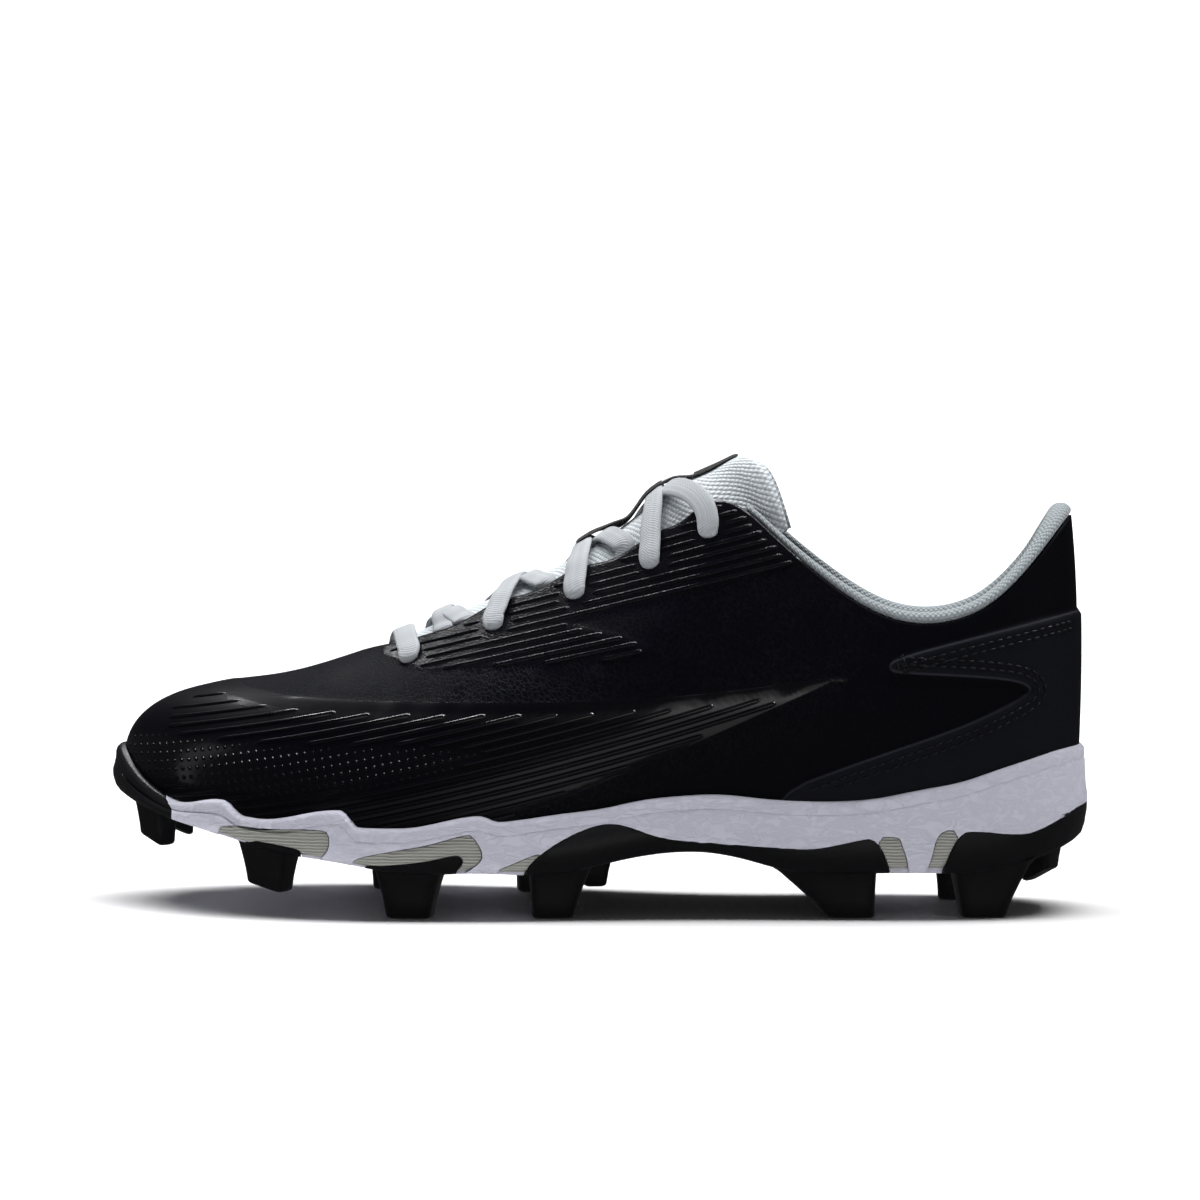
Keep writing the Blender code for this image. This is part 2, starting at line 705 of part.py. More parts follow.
def stud_cutter(name, rows):
    """Tapered studs with chamfered corners, joined in one cutter for a piece."""
    points = []
    faces = []
    corner = 1 - 2 * STUD_CORNER
    plan = (
        (-1, -corner), (-corner, -1), (corner, -1), (1, -corner),
        (1, corner), (corner, 1), (-corner, 1), (-1, corner),
    )
    for x, y, root_long, root_wide, tip_long, tip_wide, turn, slide, tip_front, tip_back in rows:
        cos, sin = math.cos(math.radians(turn)), math.sin(math.radians(turn))
        start = len(points)
        for long, wide, shift, low in (
            (root_long, root_wide, 0.0, False),
            (tip_long, tip_wide, slide, True),
        ):
            for a, b in plan:
                u = a * long / 2 + shift
                w = b * wide / 2
                place = x + u * cos - w * sin
                z = base_line(place) + STUD_ROOT
                if low:
                    z = tip_front + (tip_back - tip_front) * (a + 1) / 2
                points.append((place, y + u * sin + w * cos, z))
        size = len(plan)
        faces += [tuple(range(start, start + size)), tuple(range(start + size, start + 2 * size))]
        for i in range(size):
            j = (i + 1) % size
            faces.append((start + i, start + j, start + size + j, start + size + i))
    return make_object(name, points, faces)


def build_sole(white, black, grey):
    """Midsole, black studded pieces and grey inserts, parted from one sole block."""
    block = sole_rings()
    heart = WALL_OUT - SIDE_WALL
    core = core_solid("core", heart, PLATE)
    core_inside = core_solid("core_inside", heart - GAP, PLATE + GAP)
    deep_core_inside = core_solid("deep_core_inside", heart - 2 * GAP, -21.0)
    midsole = stacked_solid("midsole", block, white)
    fits = {}
    for name, outline in BLACK_PIECES.items():
        fits[name] = prism_cutter(name + "_fit", grow(outline, SOLE_GAP), FULL_NEAR, FULL_FAR)
        pocket = prism_cutter(name + "_pocket", grow(outline, SOLE_GAP), FULL_NEAR, FULL_FAR)
        piece = stacked_solid(name, block, black)
        boolean(piece, "INTERSECT", prism_cutter(name + "_form", outline, FULL_NEAR, FULL_FAR))
        if name != "outsole_toe":
            boolean(piece, "DIFFERENCE", core)
            boolean(pocket, "DIFFERENCE", core_inside)
        rows = [row[1:] for row in STUDS if row[0] == name]
        boolean(piece, "UNION", stud_cutter(name + "_studs", rows))
        boolean(midsole, "DIFFERENCE", pocket)

    sides = {"lateral": (FULL_NEAR, -SPLIT), "medial": (SPLIT, FULL_FAR)}
    for insert, (neighbour, outline) in INSERTS.items():
        for side, (near, far) in sides.items():
            name = insert + "_" + side
            piece = insert_band(name, grey)
            boolean(piece, "INTERSECT", prism_cutter(name + "_form", outline, near, far))
            boolean(piece, "DIFFERENCE", fits[neighbour])
            pocket = prism_cutter(name + "_pocket", grow(outline, SOLE_GAP), near, far)
            boolean(pocket, "DIFFERENCE", deep_core_inside)
            boolean(midsole, "DIFFERENCE", pocket)


def build_counter(mat):
    """Heel overlay: a shell outside the upper, trimmed to its side outline."""
    count = round(COUNTER_REACH / UPPER_STEP)
    stations = [i * UPPER_STEP for i in range(-count, count + 1)]
    shares = [i / UPPER_ROWS for i in range(UPPER_ROWS)]
    points = [offset_point(q, v, GAP) for q in stations for v in shares]
    faces = grid_faces(len(stations), len(shares))
    counter = make_object("heel_counter", points, faces, mat, closed=False)
    solidify(counter, COUNTER_THICK, 1)
    low_edge = [(x, rim_height(x) + COUNTER_CLEAR) for x in range(*COUNTER_FOOT)]
    back = rim_height(HEEL_BACK) + COUNTER_CLEAR
    outline = list(COUNTER) + low_edge + [(HEEL_BACK, back), (COUNTER[0][0], back)]
    form = prism_cutter("counter_form", outline, FULL_NEAR, FULL_FAR, skewed=False)
    boolean(counter, "INTERSECT", form)
    return counter


def build_collar(mat):
    """Padded roll over the collar edge with its lining down the inside."""
    count = round(PAD_END / PAD_STEP)
    sections = []
    for i in range(-count, count + 1):
        q = i * PAD_END / count
        ease = min(max((abs(q) - PAD_FULL) / (PAD_END - PAD_FULL), 0.0), 1.0)
        full = 1 + (PAD_THIN - 1) * ease * ease * (3 - 2 * ease)
        edge = last_point(q, 1.0)
        along = edge - last_point(q, 0.97)
        along = along / np.linalg.norm(along)
        normal = last_normal(q, 1.0)
        ring = []
        for out, up in PAD_SECTION:
            if out < -PAD_LEAST:
                out = min(-PAD_LEAST, out * full)
            if up > 0:
                ring.append(edge + along * up + normal * out)
            else:
                ring.append(offset_point(q, depth_on_last(q, -up * full), out))
        sections.append(ring)
    return section_loft("collar_pad", sections, mat)


def throat_chord(q, inset):
    """Throat edge points of both sides at a station, set in along the wall's normal."""
    return offset_point(q, 1.0, -inset), offset_point(-q, 1.0, -inset)


crown_line = line_track(CROWN_LINE)


def arched(left, right, crown, share):
    """Point on the arch between two throat edges, share 0 at the outer and 1 at the inner."""
    point = left + (right - left) * share
    point[2] += crown * (1 - (2 * share - 1) ** 2)
    return point


def tongue_grid():
    """Rows of points across the tongue, from under the vamp to its free top edge."""
    rows = []
    inset = WALL + TONGUE_CLEAR
    side, middle = TONGUE_PARTS
    width = 2 * side + middle + 1
    for q in TONGUE_HIDDEN:
        shares = [TONGUE_LOW + (1 - TONGUE_LOW) * k / (width // 2) for k in range(width // 2 + 1)]
        row = [offset_point(q, v, -inset) for v in shares]
        row += [offset_point(-q, v, -inset) for v in shares[-2::-1]]
        rows.append(row)
    for q, low in TONGUE_SHOWN:
        left, right = throat_chord(q, inset)
        shares = [low + (1 - low) * k / side for k in range(side)]
        row = [offset_point(q, v, -inset) for v in shares]
        row += [arched(left, right, crown_line(q), k / middle) for k in range(middle + 1)]
        row += [offset_point(-q, v, -inset) for v in shares[::-1]]
        rows.append(row)
    for centre_x, centre_z, side_x, side_y, side_z, square in TONGUE_TOP:
        row = []
        for k in range(width):
            w = 2 * k / (width - 1) - 1
            x = centre_x + (side_x - centre_x) * w * w
            z = centre_z + (side_z - centre_z) * abs(w) ** square
            row.append(np.array((x, side_y * w, z)))
        rows.append(row)
    return rows


def build_tongue(mat):
    rows = tongue_grid()
    width = len(rows[0])
    faces = [face[::-1] for face in grid_faces(len(rows), width)]
    tongue = make_object("tongue", [p for row in rows for p in row], faces, mat, closed=False)
    solidify(tongue, TONGUE_THICK, -1)
    return tongue


def build_insole(mat):
    """Footbed inside the upper, with a slightly rounded top edge."""
    rings = [[], [], []]
    for q in ring_columns(INSOLE_STEP):
        low = feather(q) - outward(q) * (WALL + INSOLE_CLEAR)
        edge = outward(q)
        rings[0].append(low)
        rings[1].append(low + np.array((0, 0, INSOLE_THICK * 0.6)))
        rings[2].append(low - edge * 2.5 + np.array((0, 0, INSOLE_THICK)))
    return stacked_solid("insole", rings, mat)


def lace_surface(q, across):
    """Middle of the lace at a station; across runs -1 to 1 between the throat edges."""
    side = -1 if across < 0 else 1
    if abs(across) > 1:
        v = depth_on_last(-side * q, (abs(across) - 1) * EYELET_IN)
        return offset_point(-side * q, v, LACE_LIFT + LACE_THICK / 2)
    left, right = throat_chord(q, -LACE_LIFT - LACE_THICK / 2)
    rise = max(crown_line(q) - LACE_SINK, 0.4)
    return arched(left, right, rise, (across + 1) / 2)


def ribbon(start, end, steps):
    """Closed sections of a flat lace along a straight run over the throat."""
    spine = []
    for i in range(steps + 1):
        t = i / steps
        spine.append(lace_surface(start[0] + (end[0] - start[0]) * t,
                                  start[1] + (end[1] - start[1]) * t))
    sections = []
    for i, point in enumerate(spine):
        along = spine[min(i + 1, steps)] - spine[max(i - 1, 0)]
        along = along / np.linalg.norm(along)
        t = i / steps
        q = start[0] + (end[0] - start[0]) * t
        a = start[1] + (end[1] - start[1]) * t
        forward = lace_surface(q - 0.1, a) - lace_surface(q + 0.1, a)
        up = np.cross(forward, lace_surface(q, a + 0.05) - lace_surface(q, a - 0.05))
        up = up / np.linalg.norm(up)
        if up[2] < 0:
            up = -up
        wide = np.cross(up, along)
        wide = wide / np.linalg.norm(wide)
        half_w, half_t = LACE_WIDE / 2, LACE_THICK / 2
        sections.append([
            point + wide * half_w * a_side + up * half_t * b_side
            for a_side, b_side in ((-1, -1), (1, -1), (1, 1), (-1, 1))
        ])
    return sections


def lace_strand(n, side):
    """Sections of the strand that leaves a side at a row for the other side, -1 from the outer."""
    near, far = (EYELET_ROWS, INNER_ROWS) if side < 0 else (INNER_ROWS, EYELET_ROWS)
    here, there = (0, 1) if side < 0 else (1, 0)
    start, leave = near[n], LACE_REACH
    end, enter = far[n] + (far[n + 1] - far[n]) * LACE_UNDER[there], LACE_EDGE
    if n == 0:
        start, leave = near[0] + (near[1] - near[0]) * LACE_LEAVE[here], LACE_EDGE
    if n == len(near) - 2:
        end, enter = far[n + 1], LACE_REACH
    return ribbon((start, side * leave), (end, -side * enter), LACE_STEPS)


def build_laces(mat):
    """Straight bar at the first holes and a crossing for each pair of rows above it.

    A strand comes up through its hole and goes under the other edge below the next hole; only the
    last crossing goes down into the top holes from outside.
    """
    bar = ribbon((EYELET_ROWS[0], -LACE_REACH), (INNER_ROWS[0], LACE_REACH), LACE_STEPS)
    section_loft("lace_bar", bar, mat)
    for n in range(len(EYELET_ROWS) - 1):
        crossing = section_loft("lace_crossing_%d" % (n + 1), lace_strand(n, -1), mat)
        boolean(crossing, "UNION", section_loft("lace_strand_%d" % (n + 1), lace_strand(n, 1)))


def build_shoe():
    clear_scene()
    root = bpy.data.objects.new("shoe", None)
    root.location = Vector(CENTRE) * MM
    bpy.context.scene.collection.objects.link(root)
    black_leather = material("black_synthetic", (0.012, 0.012, 0.014), 0.45)
    grey_mesh = material("grey_mesh", (0.48, 0.49, 0.52), 0.85)
    white_foam = material("white_foam", (0.80, 0.80, 0.84), 0.55)
    black_rubber = material("black_rubber", (0.012, 0.012, 0.013), 0.40)
    grey_rubber = material("grey_rubber", (0.22, 0.22, 0.23), 0.55)
    lace_grey = material("lace_grey", (0.55, 0.56, 0.58), 0.9)
    insole_foam = material("insole_foam", (0.08, 0.08, 0.09), 0.9)
    build_upper(black_leather)
    build_counter(black_leather)
    build_collar(grey_mesh)
    build_tongue(grey_mesh)
    build_insole(insole_foam)
    build_laces(lace_grey)
    build_sole(white_foam, black_rubber, grey_rubber)


build_shoe()
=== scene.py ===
import math

import bmesh
import bpy
import numpy as np
from mathutils import Matrix, Vector
from mathutils.bvhtree import BVHTree


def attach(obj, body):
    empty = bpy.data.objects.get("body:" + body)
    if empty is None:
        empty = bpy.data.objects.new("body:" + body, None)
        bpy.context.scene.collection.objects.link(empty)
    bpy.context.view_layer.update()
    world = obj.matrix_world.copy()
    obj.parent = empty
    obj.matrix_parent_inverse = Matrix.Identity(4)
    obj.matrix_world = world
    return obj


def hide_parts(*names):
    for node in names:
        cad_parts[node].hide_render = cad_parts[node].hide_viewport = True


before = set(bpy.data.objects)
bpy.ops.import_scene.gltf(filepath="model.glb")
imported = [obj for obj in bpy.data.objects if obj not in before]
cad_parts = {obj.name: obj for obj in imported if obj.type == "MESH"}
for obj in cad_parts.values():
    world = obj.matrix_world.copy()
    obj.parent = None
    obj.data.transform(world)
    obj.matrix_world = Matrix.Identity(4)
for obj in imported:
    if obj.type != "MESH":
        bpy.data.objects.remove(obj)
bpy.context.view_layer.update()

# Camera: a long lens a metre away on the outer side, at the height of the tongue, turned 5 degrees
# towards the heel. Shoe sizes below are millimetres with the toe at -X; SHIFT brings them to the
# frame's origin under the middle of the shoe.
MM = 0.001
SHIFT = np.array((2.2, 1.5, 0.0))
CAMERA_AWAY = 1000.0
CAMERA_HEIGHT = 114.0
CAMERA_TURN = math.radians(5.0)
CAMERA_PITCH = math.radians(1.63)
CAMERA_LENS = 106.7
CAMERA_SENSOR = 36.0


def placed(points):
    """Places in the frame, in metres, of points in shoe millimetres."""
    return (np.asarray(points, float) + SHIFT) * MM


def link_new(name, data):
    """New object in the scene."""
    made = bpy.data.objects.new(name, data)
    bpy.context.scene.collection.objects.link(made)
    return made


camera_data = bpy.data.cameras.new("camera")
camera_data.lens = CAMERA_LENS
camera_data.sensor_width = CAMERA_SENSOR
camera = link_new("camera", camera_data)
away_x, away_y = CAMERA_AWAY * math.sin(CAMERA_TURN), -CAMERA_AWAY * math.cos(CAMERA_TURN)
camera.location = Vector(placed((away_x, away_y, CAMERA_HEIGHT)))
camera.rotation_euler = (math.pi / 2 - CAMERA_PITCH, 0.0, CAMERA_TURN)
bpy.context.scene.camera = camera


# Studio: white paper on the floor and rising behind the shoe, a soft box over the shoe and one that
# lights only the backdrop. Gloss does not mirror these, so that the black panels stay black; it
# mirrors the narrow strips, which light nothing else and draw the ribs and the edges of toe and heel.
SWEEP_COLOUR = "f4f4f5"
SWEEP_WIDE = 6.0
SWEEP_BACK = 2.2
SWEEP_FRONT = -3.0
SWEEP_BEND = 0.8
SWEEP_SPLIT = 0.35
SWEEP_TOP = 3.0
SWEEP_STEPS = 12
WORLD_STRENGTH = 0.07
MERGE_WITHIN = 0.00001
# Lights: place, aim, width and height in metres, power in watts, and whether they are only mirrored
LIGHTS = {
    "top_box": ((0.0, 0.16, 1.35), (0.0, 0.06, 0.0), 1.7, 0.9, 41.0, False),
    "paper_box": ((0.0, 0.85, 1.6), (0.0, 2.2, 1.0), 3.6, 1.0, 80.0, False),
    "rib_strip": ((0.15, 0.32, 1.05), (0.0, 0.0, 0.06), 1.8, 0.16, 20.0, True),
    "toe_strip": ((-1.0, -0.10, 0.40), (-0.05, 0.0, 0.06), 0.12, 0.7, 0.25, True),
    "heel_strip": ((1.1, -0.25, 0.45), (0.05, 0.0, 0.06), 0.12, 0.7, 0.6, True),
    "low_card": ((0.1, -0.9, 0.02), (0.0, 0.0, 0.05), 1.6, 0.3, 1.2, True),
}


def linear(code):
    """Linear RGBA of an sRGB hex colour."""
    parts = [int(code[i : i + 2], 16) / 255 for i in (0, 2, 4)]
    return tuple(c / 12.92 if c <= 0.04045 else ((c + 0.055) / 1.055) ** 2.4 for c in parts) + (1.0,)


def node(tree, kind, inputs=(), give=0, to=(), **settings):
    """Add one node with its settings and links, and return the output it gives.

    The kind may carry an operation, as in Math.ADD. An input is a socket, a value or a hex colour,
    and to names the inputs of the main shader that the output goes to.
    """
    kind, _, operation = kind.partition(".")
    made = tree.nodes.new(kind if "Node" in kind else "ShaderNode" + kind)
    if operation:
        made.operation = operation
    for key, value in settings.items():
        setattr(made, key, value)
    for key, value in inputs.items() if isinstance(inputs, dict) else enumerate(inputs):
        if isinstance(value, bpy.types.NodeSocket):
            tree.links.new(value, made.inputs[key])
        else:
            made.inputs[key].default_value = linear(value) if isinstance(value, str) else value
    for name in to:
        tree.links.new(made.outputs[give], tree.nodes["Principled BSDF"].inputs[name])
    return made.outputs[give] if made.outputs else made


def new_material(name, colour, roughness, **sockets):
    """Material with its main shader set by plain values; returns it and its tree."""
    mat = bpy.data.materials.new(name)
    mat.use_nodes = True
    shader = mat.node_tree.nodes["Principled BSDF"]
    shader.inputs["Base Color"].default_value = linear(colour)
    shader.inputs["Roughness"].default_value = roughness
    for key, value in sockets.items():
        shader.inputs[key.replace("_", " ")].default_value = value
    return mat, mat.node_tree


def set_edges(mesh, angle):
    """Smooth shading with crisp edges above an angle."""
    mesh.shade_smooth()
    mesh.set_sharp_from_angle(angle=math.radians(angle))


def make_piece(name, points, faces, mat, crease=40.0, closed=True):
    """Smooth shaded mesh object from shoe millimetres, placed in the frame."""
    mesh = bpy.data.meshes.new(name)
    mesh.from_pydata(placed(points).tolist(), [], faces)
    bm = bmesh.new()
    bm.from_mesh(mesh)
    bmesh.ops.remove_doubles(bm, verts=bm.verts, dist=MERGE_WITHIN)
    if closed:
        bmesh.ops.recalc_face_normals(bm, faces=bm.faces)
    bm.to_mesh(mesh)
    bm.free()
    set_edges(mesh, crease)
    if mat is not None:
        mesh.materials.append(mat)
    return link_new(name, mesh)


# Matt white paper: an even ground without a horizon
paper, _ = new_material("studio_paper", SWEEP_COLOUR, 0.9)
floor_line = [(SWEEP_FRONT, 0.0), (SWEEP_SPLIT, 0.0)]
rise_line = floor_line[1:]
for turn in np.linspace(0, math.pi / 2, SWEEP_STEPS + 1):
    back, up = math.sin(turn) - 1, 1 - math.cos(turn)
    rise_line.append((SWEEP_BACK + SWEEP_BEND * back, SWEEP_BEND * up))
rise_line.append((SWEEP_BACK, SWEEP_TOP))
for name, line in (("paper_floor", floor_line), ("paper_backdrop", rise_line)):
    sheet_points = [(x / MM, y / MM, z / MM) for y, z in line for x in (-SWEEP_WIDE, SWEEP_WIDE)]
    sheet_faces = [(2 * i, 2 * i + 1, 2 * i + 3, 2 * i + 2) for i in range(len(line) - 1)]
    sheet = make_piece(name, sheet_points, sheet_faces, paper, closed=False)
    sheet.visible_glossy = False
    sheet.visible_diffuse = name == "paper_floor"

world = bpy.data.worlds.new("studio")
world.use_nodes = True
world.node_tree.nodes["Background"].inputs["Color"].default_value = linear("ffffff")
world.node_tree.nodes["Background"].inputs["Strength"].default_value = WORLD_STRENGTH
bpy.context.scene.world = world
bpy.context.scene.view_settings.view_transform = "Standard"
for name, (place, aim, wide, high, watts, mirrored) in LIGHTS.items():
    light = bpy.data.lights.new(name, "AREA")
    light.shape = "RECTANGLE"
    light.size, light.size_y = wide, high
    light.energy = watts
    box = link_new(name, light)
    box.location = place
    box.rotation_euler = (Vector(aim) - Vector(place)).to_track_quat("-Z", "Y").to_euler()
    box.visible_glossy = mirrored
    box.visible_diffuse = not mirrored


# Upper: one lasted shell of coated synthetic leather about 2 mm thick, pulled over the last and
# closed into the sole. Its sections run from the heel centre over the outer side (stations above
# zero) to the toe and back along the inner side (below zero).
LAST_LENGTH = 268.4
HEEL_BACK = 132.0
BALL_WIDTH = 90.0
HEEL_HEIGHT = 109.6
WALL = 2.0
GAP = 0.3
COLUMNS = (
    "base_along base_out base_in base_up top_along top_out top_in top_up lean rise tilt fall pitch"
)
SECTIONS = (
    (0.0, 0.0, 0.0, 31.5, 0.2, 0.0, 0.0, 100.0, 3, 0.33, 84, 0.33, 0.00),
    (1.7, -17.2, 16.7, 31.4, 1.8, -13.3, 13.3, 95.3, 4, 0.33, 84, 0.33, 0.00),
    (6.1, -28.3, 27.2, 31.1, 4.8, -22.0, 21.7, 86.3, 5, 0.33, 84, 0.33, 0.00),
    (11.6, -33.3, 31.7, 30.6, 9.1, -28.9, 28.3, 77.0, 7, 0.34, 84, 0.33, 0.00),
    (17.5, -35.6, 33.0, 29.8, 14.5, -32.4, 31.7, 73.0, 9, 0.35, 82, 0.33, 0.00),
    (23.8, -36.7, 31.9, 28.8, 20.1, -33.3, 32.2, 75.7, 10, 0.35, 78, 0.33, 0.00),
    (30.2, -37.8, 30.2, 27.6, 25.7, -31.6, 30.4, 84.5, 10, 0.36, 73, 0.32, 0.05),
    (36.1, -39.1, 30.0, 26.3, 30.7, -28.0, 26.9, 95.1, 10, 0.37, 67, 0.31, 0.12),
    (41.7, -41.1, 32.0, 25.0, 36.3, -23.1, 22.2, 103.7, 10, 0.38, 60, 0.30, 0.25),
    (47.3, -43.7, 35.6, 23.8, 42.7, -16.9, 16.7, 95.8, 10, 0.39, 52, 0.32, 0.40),
    (52.9, -46.7, 39.6, 22.6, 49.6, -15.1, 15.1, 87.9, 10, 0.40, 45, 0.34, 0.42),
    (58.5, -49.3, 43.1, 21.7, 56.1, -14.4, 14.8, 81.2, 10, 0.40, 40, 0.36, 0.42),
    (64.1, -51.1, 45.9, 21.0, 62.4, -13.8, 14.2, 74.5, 10, 0.40, 36, 0.38, 0.42),
    (69.7, -51.8, 47.8, 20.7, 68.2, -12.4, 13.3, 68.5, 10, 0.40, 31, 0.39, 0.42),
    (75.1, -50.2, 48.4, 21.0, 72.3, -8.7, 10.2, 66.2, 10, 0.39, 17, 0.40, 0.41),
    (80.3, -46.4, 47.2, 22.1, 74.3, 1.3, 1.3, 65.1, 11, 0.38, 0, 0.42, 0.38),
    (85.3, -40.7, 44.4, 23.9, 79.4, 2.7, 2.7, 61.1, 12, 0.38, 0, 0.43, 0.22),
    (90.0, -32.2, 39.8, 26.3, 84.0, 4.0, 4.0, 58.6, 12, 0.38, 0, 0.45, 0.14),
    (94.1, -21.7, 32.8, 29.0, 87.9, 5.3, 5.3, 57.4, 12, 0.39, 0, 0.47, 0.18),
    (97.3, -9.8, 23.9, 31.4, 90.7, 6.4, 6.4, 56.1, 12, 0.40, 0, 0.50, 0.22),
    (99.3, 0.0, 15.9, 32.6, 92.1, 7.1, 7.1, 55.3, 12, 0.40, 0, 0.52, 0.25),
    (100.0, 7.8, 7.8, 33.0, 92.6, 7.3, 7.3, 55.0, 12, 0.40, 0, 0.52, 0.26),
)
TOE = len(SECTIONS) - 1
THROAT_FRONT = 15
UP = np.array((0.0, 0.0, 1.0))
UPPER_COLUMNS = 560
UPPER_ROWS = 76
# Stations of the lace holes on the outer and on the inner side
EYELET_ROWS = (13.0, 11.55, 10.25, 9.1, 8.15)
INNER_ROWS = (13.7, 12.1, 10.85, 9.85, 9.0)
EYELET_IN = 9.5
EYELET_DIAMETER = 5.0
SCALLOP = 2.0
SCALLOPED = (8, 14)
EYELET_SIDES = 20
EDGE_STEPS = 240
NORMAL_TOP = 0.985
NORMAL_STEPS = (0.03, 0.015)


def curve(knots, values):
    """Natural cubic through the values, for single numbers and whole arrays."""
    x = np.asarray(knots, float)
    y = np.asarray(values, float)
    h = np.diff(x)
    system = np.eye(len(x))
    right = np.zeros(len(x))
    for i in range(1, len(x) - 1):
        system[i, i - 1 : i + 2] = h[i - 1], 2 * (h[i - 1] + h[i]), h[i]
        right[i] = 6 * ((y[i + 1] - y[i]) / h[i] - (y[i] - y[i - 1]) / h[i - 1])
    bend = np.linalg.solve(system, right)

    def at(t):
        t = np.asarray(t, float)
        i = np.clip(np.searchsorted(x, t) - 1, 0, len(x) - 2)
        a = (x[i + 1] - t) / h[i]
        b = 1 - a
        curl = (a**3 - a) * bend[i] + (b**3 - b) * bend[i + 1]
        return a * y[i] + b * y[i + 1] + curl * h[i] ** 2 / 6

    return at


def line_curve(rows):
    """Curve along x through (x, value) rows given in any order."""
    rows = sorted(rows)
    return curve([r[0] for r in rows], [r[1] for r in rows])


def column(name, scale=1.0, start=0.0):
    """One column of the section table."""
    i = COLUMNS.split().index(name)
    return [start + row[i] * scale for row in SECTIONS]


def wrap(q):
    """Bring stations past the toe back on the other side."""
    q = np.asarray(q, float)
    return np.where(q > TOE, q - 2 * TOE, np.where(q < -TOE, q + 2 * TOE, q))


def ring_curve(outer, inner):
    """Closed curve round the shoe through the outer and inner column."""
    stations = np.arange(-TOE - 5, TOE + 6)
    values = [outer[int(q)] if q >= 0 else inner[int(-q)] for q in wrap(stations)]
    return curve(stations, values)


def ridge_curve(values):
    """Curve along the vamp ridge, mirrored at the toe so that it ends level."""
    tail = values[THROAT_FRONT:]
    return curve(range(THROAT_FRONT, THROAT_FRONT + 2 * len(tail) - 1), tail + tail[-2::-1])


def topline_curve(outer, inner):
    """Open curve along collar and throat edge, from throat front to throat front."""
    stations = range(-THROAT_FRONT, THROAT_FRONT + 1)
    return curve(stations, [outer[q] if q >= 0 else inner[-q] for q in stations])


HALF = BALL_WIDTH / 100
ALONG = -LAST_LENGTH / 100
BASE_X = column("base_along", ALONG, HEEL_BACK)
TOP_X = column("top_along", ALONG, HEEL_BACK)
TOP_Z = column("top_up", HEEL_HEIGHT / 100)
TOP_OUT = column("top_out", HALF)
TOP_IN = column("top_in", HALF)
base_x = ring_curve(BASE_X, BASE_X)
base_y = ring_curve(column("base_out", HALF), column("base_in", HALF))
base_z = ring_curve(column("base_up"), column("base_up"))
edge = [topline_curve(a, b) for a, b in ((TOP_X, TOP_X), (TOP_OUT, TOP_IN), (TOP_Z, TOP_Z))]
ridge = [ridge_curve(values) for values in (TOP_X, TOP_OUT, TOP_Z)]
shape = {n: ring_curve(column(n), column(n)) for n in ("lean", "rise", "tilt", "fall", "pitch")}


def feather(q):
    """Feather edge where the upper meets the sole."""
    return np.stack((base_x(q), base_y(q), base_z(q)), -1)


def outward(q):
    """Plan direction that points out of the shoe."""
    step = 0.02
    along_x = base_x(q + step) - base_x(q - step)
    along_y = base_y(q + step) - base_y(q - step)
    size = np.hypot(along_x, along_y)
    return np.stack((-along_y / size, along_x / size, np.zeros_like(size)), -1)


def top_edge(q):
    """Collar, throat edge or vamp ridge."""
    vamp = np.clip(np.abs(q), THROAT_FRONT, TOE)
    open_edge = np.clip(q, -THROAT_FRONT, THROAT_FRONT)
    pairs = [np.where(np.abs(q) >= THROAT_FRONT, r(vamp), e(open_edge)) for r, e in zip(ridge, edge)]
    return np.stack(pairs, -1)


def last(q, v):
    """Outside of the upper for arrays of stations and of height shares, 0 at the sole, 1 on top."""
    q = wrap(q)
    v = np.asarray(v, float)[..., None]
    low = feather(q)
    high = top_edge(q)
    out = outward(q)
    chord = np.linalg.norm(high - low, axis=-1)[..., None]
    form = {n: f(q)[..., None] for n, f in shape.items()}
    lean = np.radians(form["lean"])
    tilt = np.radians(form["tilt"])
    level = out * np.cos(tilt)
    drop = np.sin(tilt) - form["pitch"] * level[..., :1]
    low_pull = low + form["rise"] * chord * (out * np.sin(lean) + UP * np.cos(lean))
    high_pull = high + form["fall"] * chord * (level - UP * drop)
    w = 1 - v
    return w**3 * low + 3 * w * w * v * low_pull + 3 * w * v * v * high_pull + v**3 * high


def unit(vectors):
    """Vectors brought to length one."""
    return vectors / np.linalg.norm(vectors, axis=-1)[..., None]


def last_normal(q, v):
    """Outward unit normal of the upper, taken just under the edge at the very top."""
    q = np.asarray(q, float)
    v = np.minimum(np.asarray(v, float), NORMAL_TOP)
    side_step, up_step = NORMAL_STEPS
    along = last(q + side_step, v) - last(q - side_step, v)
    rise = last(q, np.minimum(v + up_step, 1)) - last(q, np.maximum(v - up_step, 0))
    return unit(np.cross(rise, along))


def off_last(q, v, lift):
    """Point at a distance outside the upper."""
    lift = np.asarray(lift, float)[..., None]
    return last(q, v) + lift * last_normal(q, v)


def walked(line):
    """Way walked along a line of points, 0 at its first."""
    return np.concatenate(([0.0], np.cumsum(np.linalg.norm(np.diff(line, axis=0), axis=1))))


def below_edge(q, depth):
    """Share v that lies a given way below the top edge, measured along the wall."""
    v = np.linspace(1.0, 0.0, EDGE_STEPS)
    return np.interp(depth, walked(last(np.full(v.shape, q), v)), v)


def soften(outline, rounds, closed=True):
    """Outline with its corners cut, each round at a quarter of every side."""
    points = np.asarray(outline, float)
    for _ in range(rounds):
        after = np.roll(points, -1, 0)
        near, far = 0.75 * points + 0.25 * after, 0.25 * points + 0.75 * after
        cut = np.stack((near, far), 1).reshape(-1, points.shape[1])
        points = cut if closed else np.concatenate((points[:1], cut[:-2], points[-1:]))
    return points


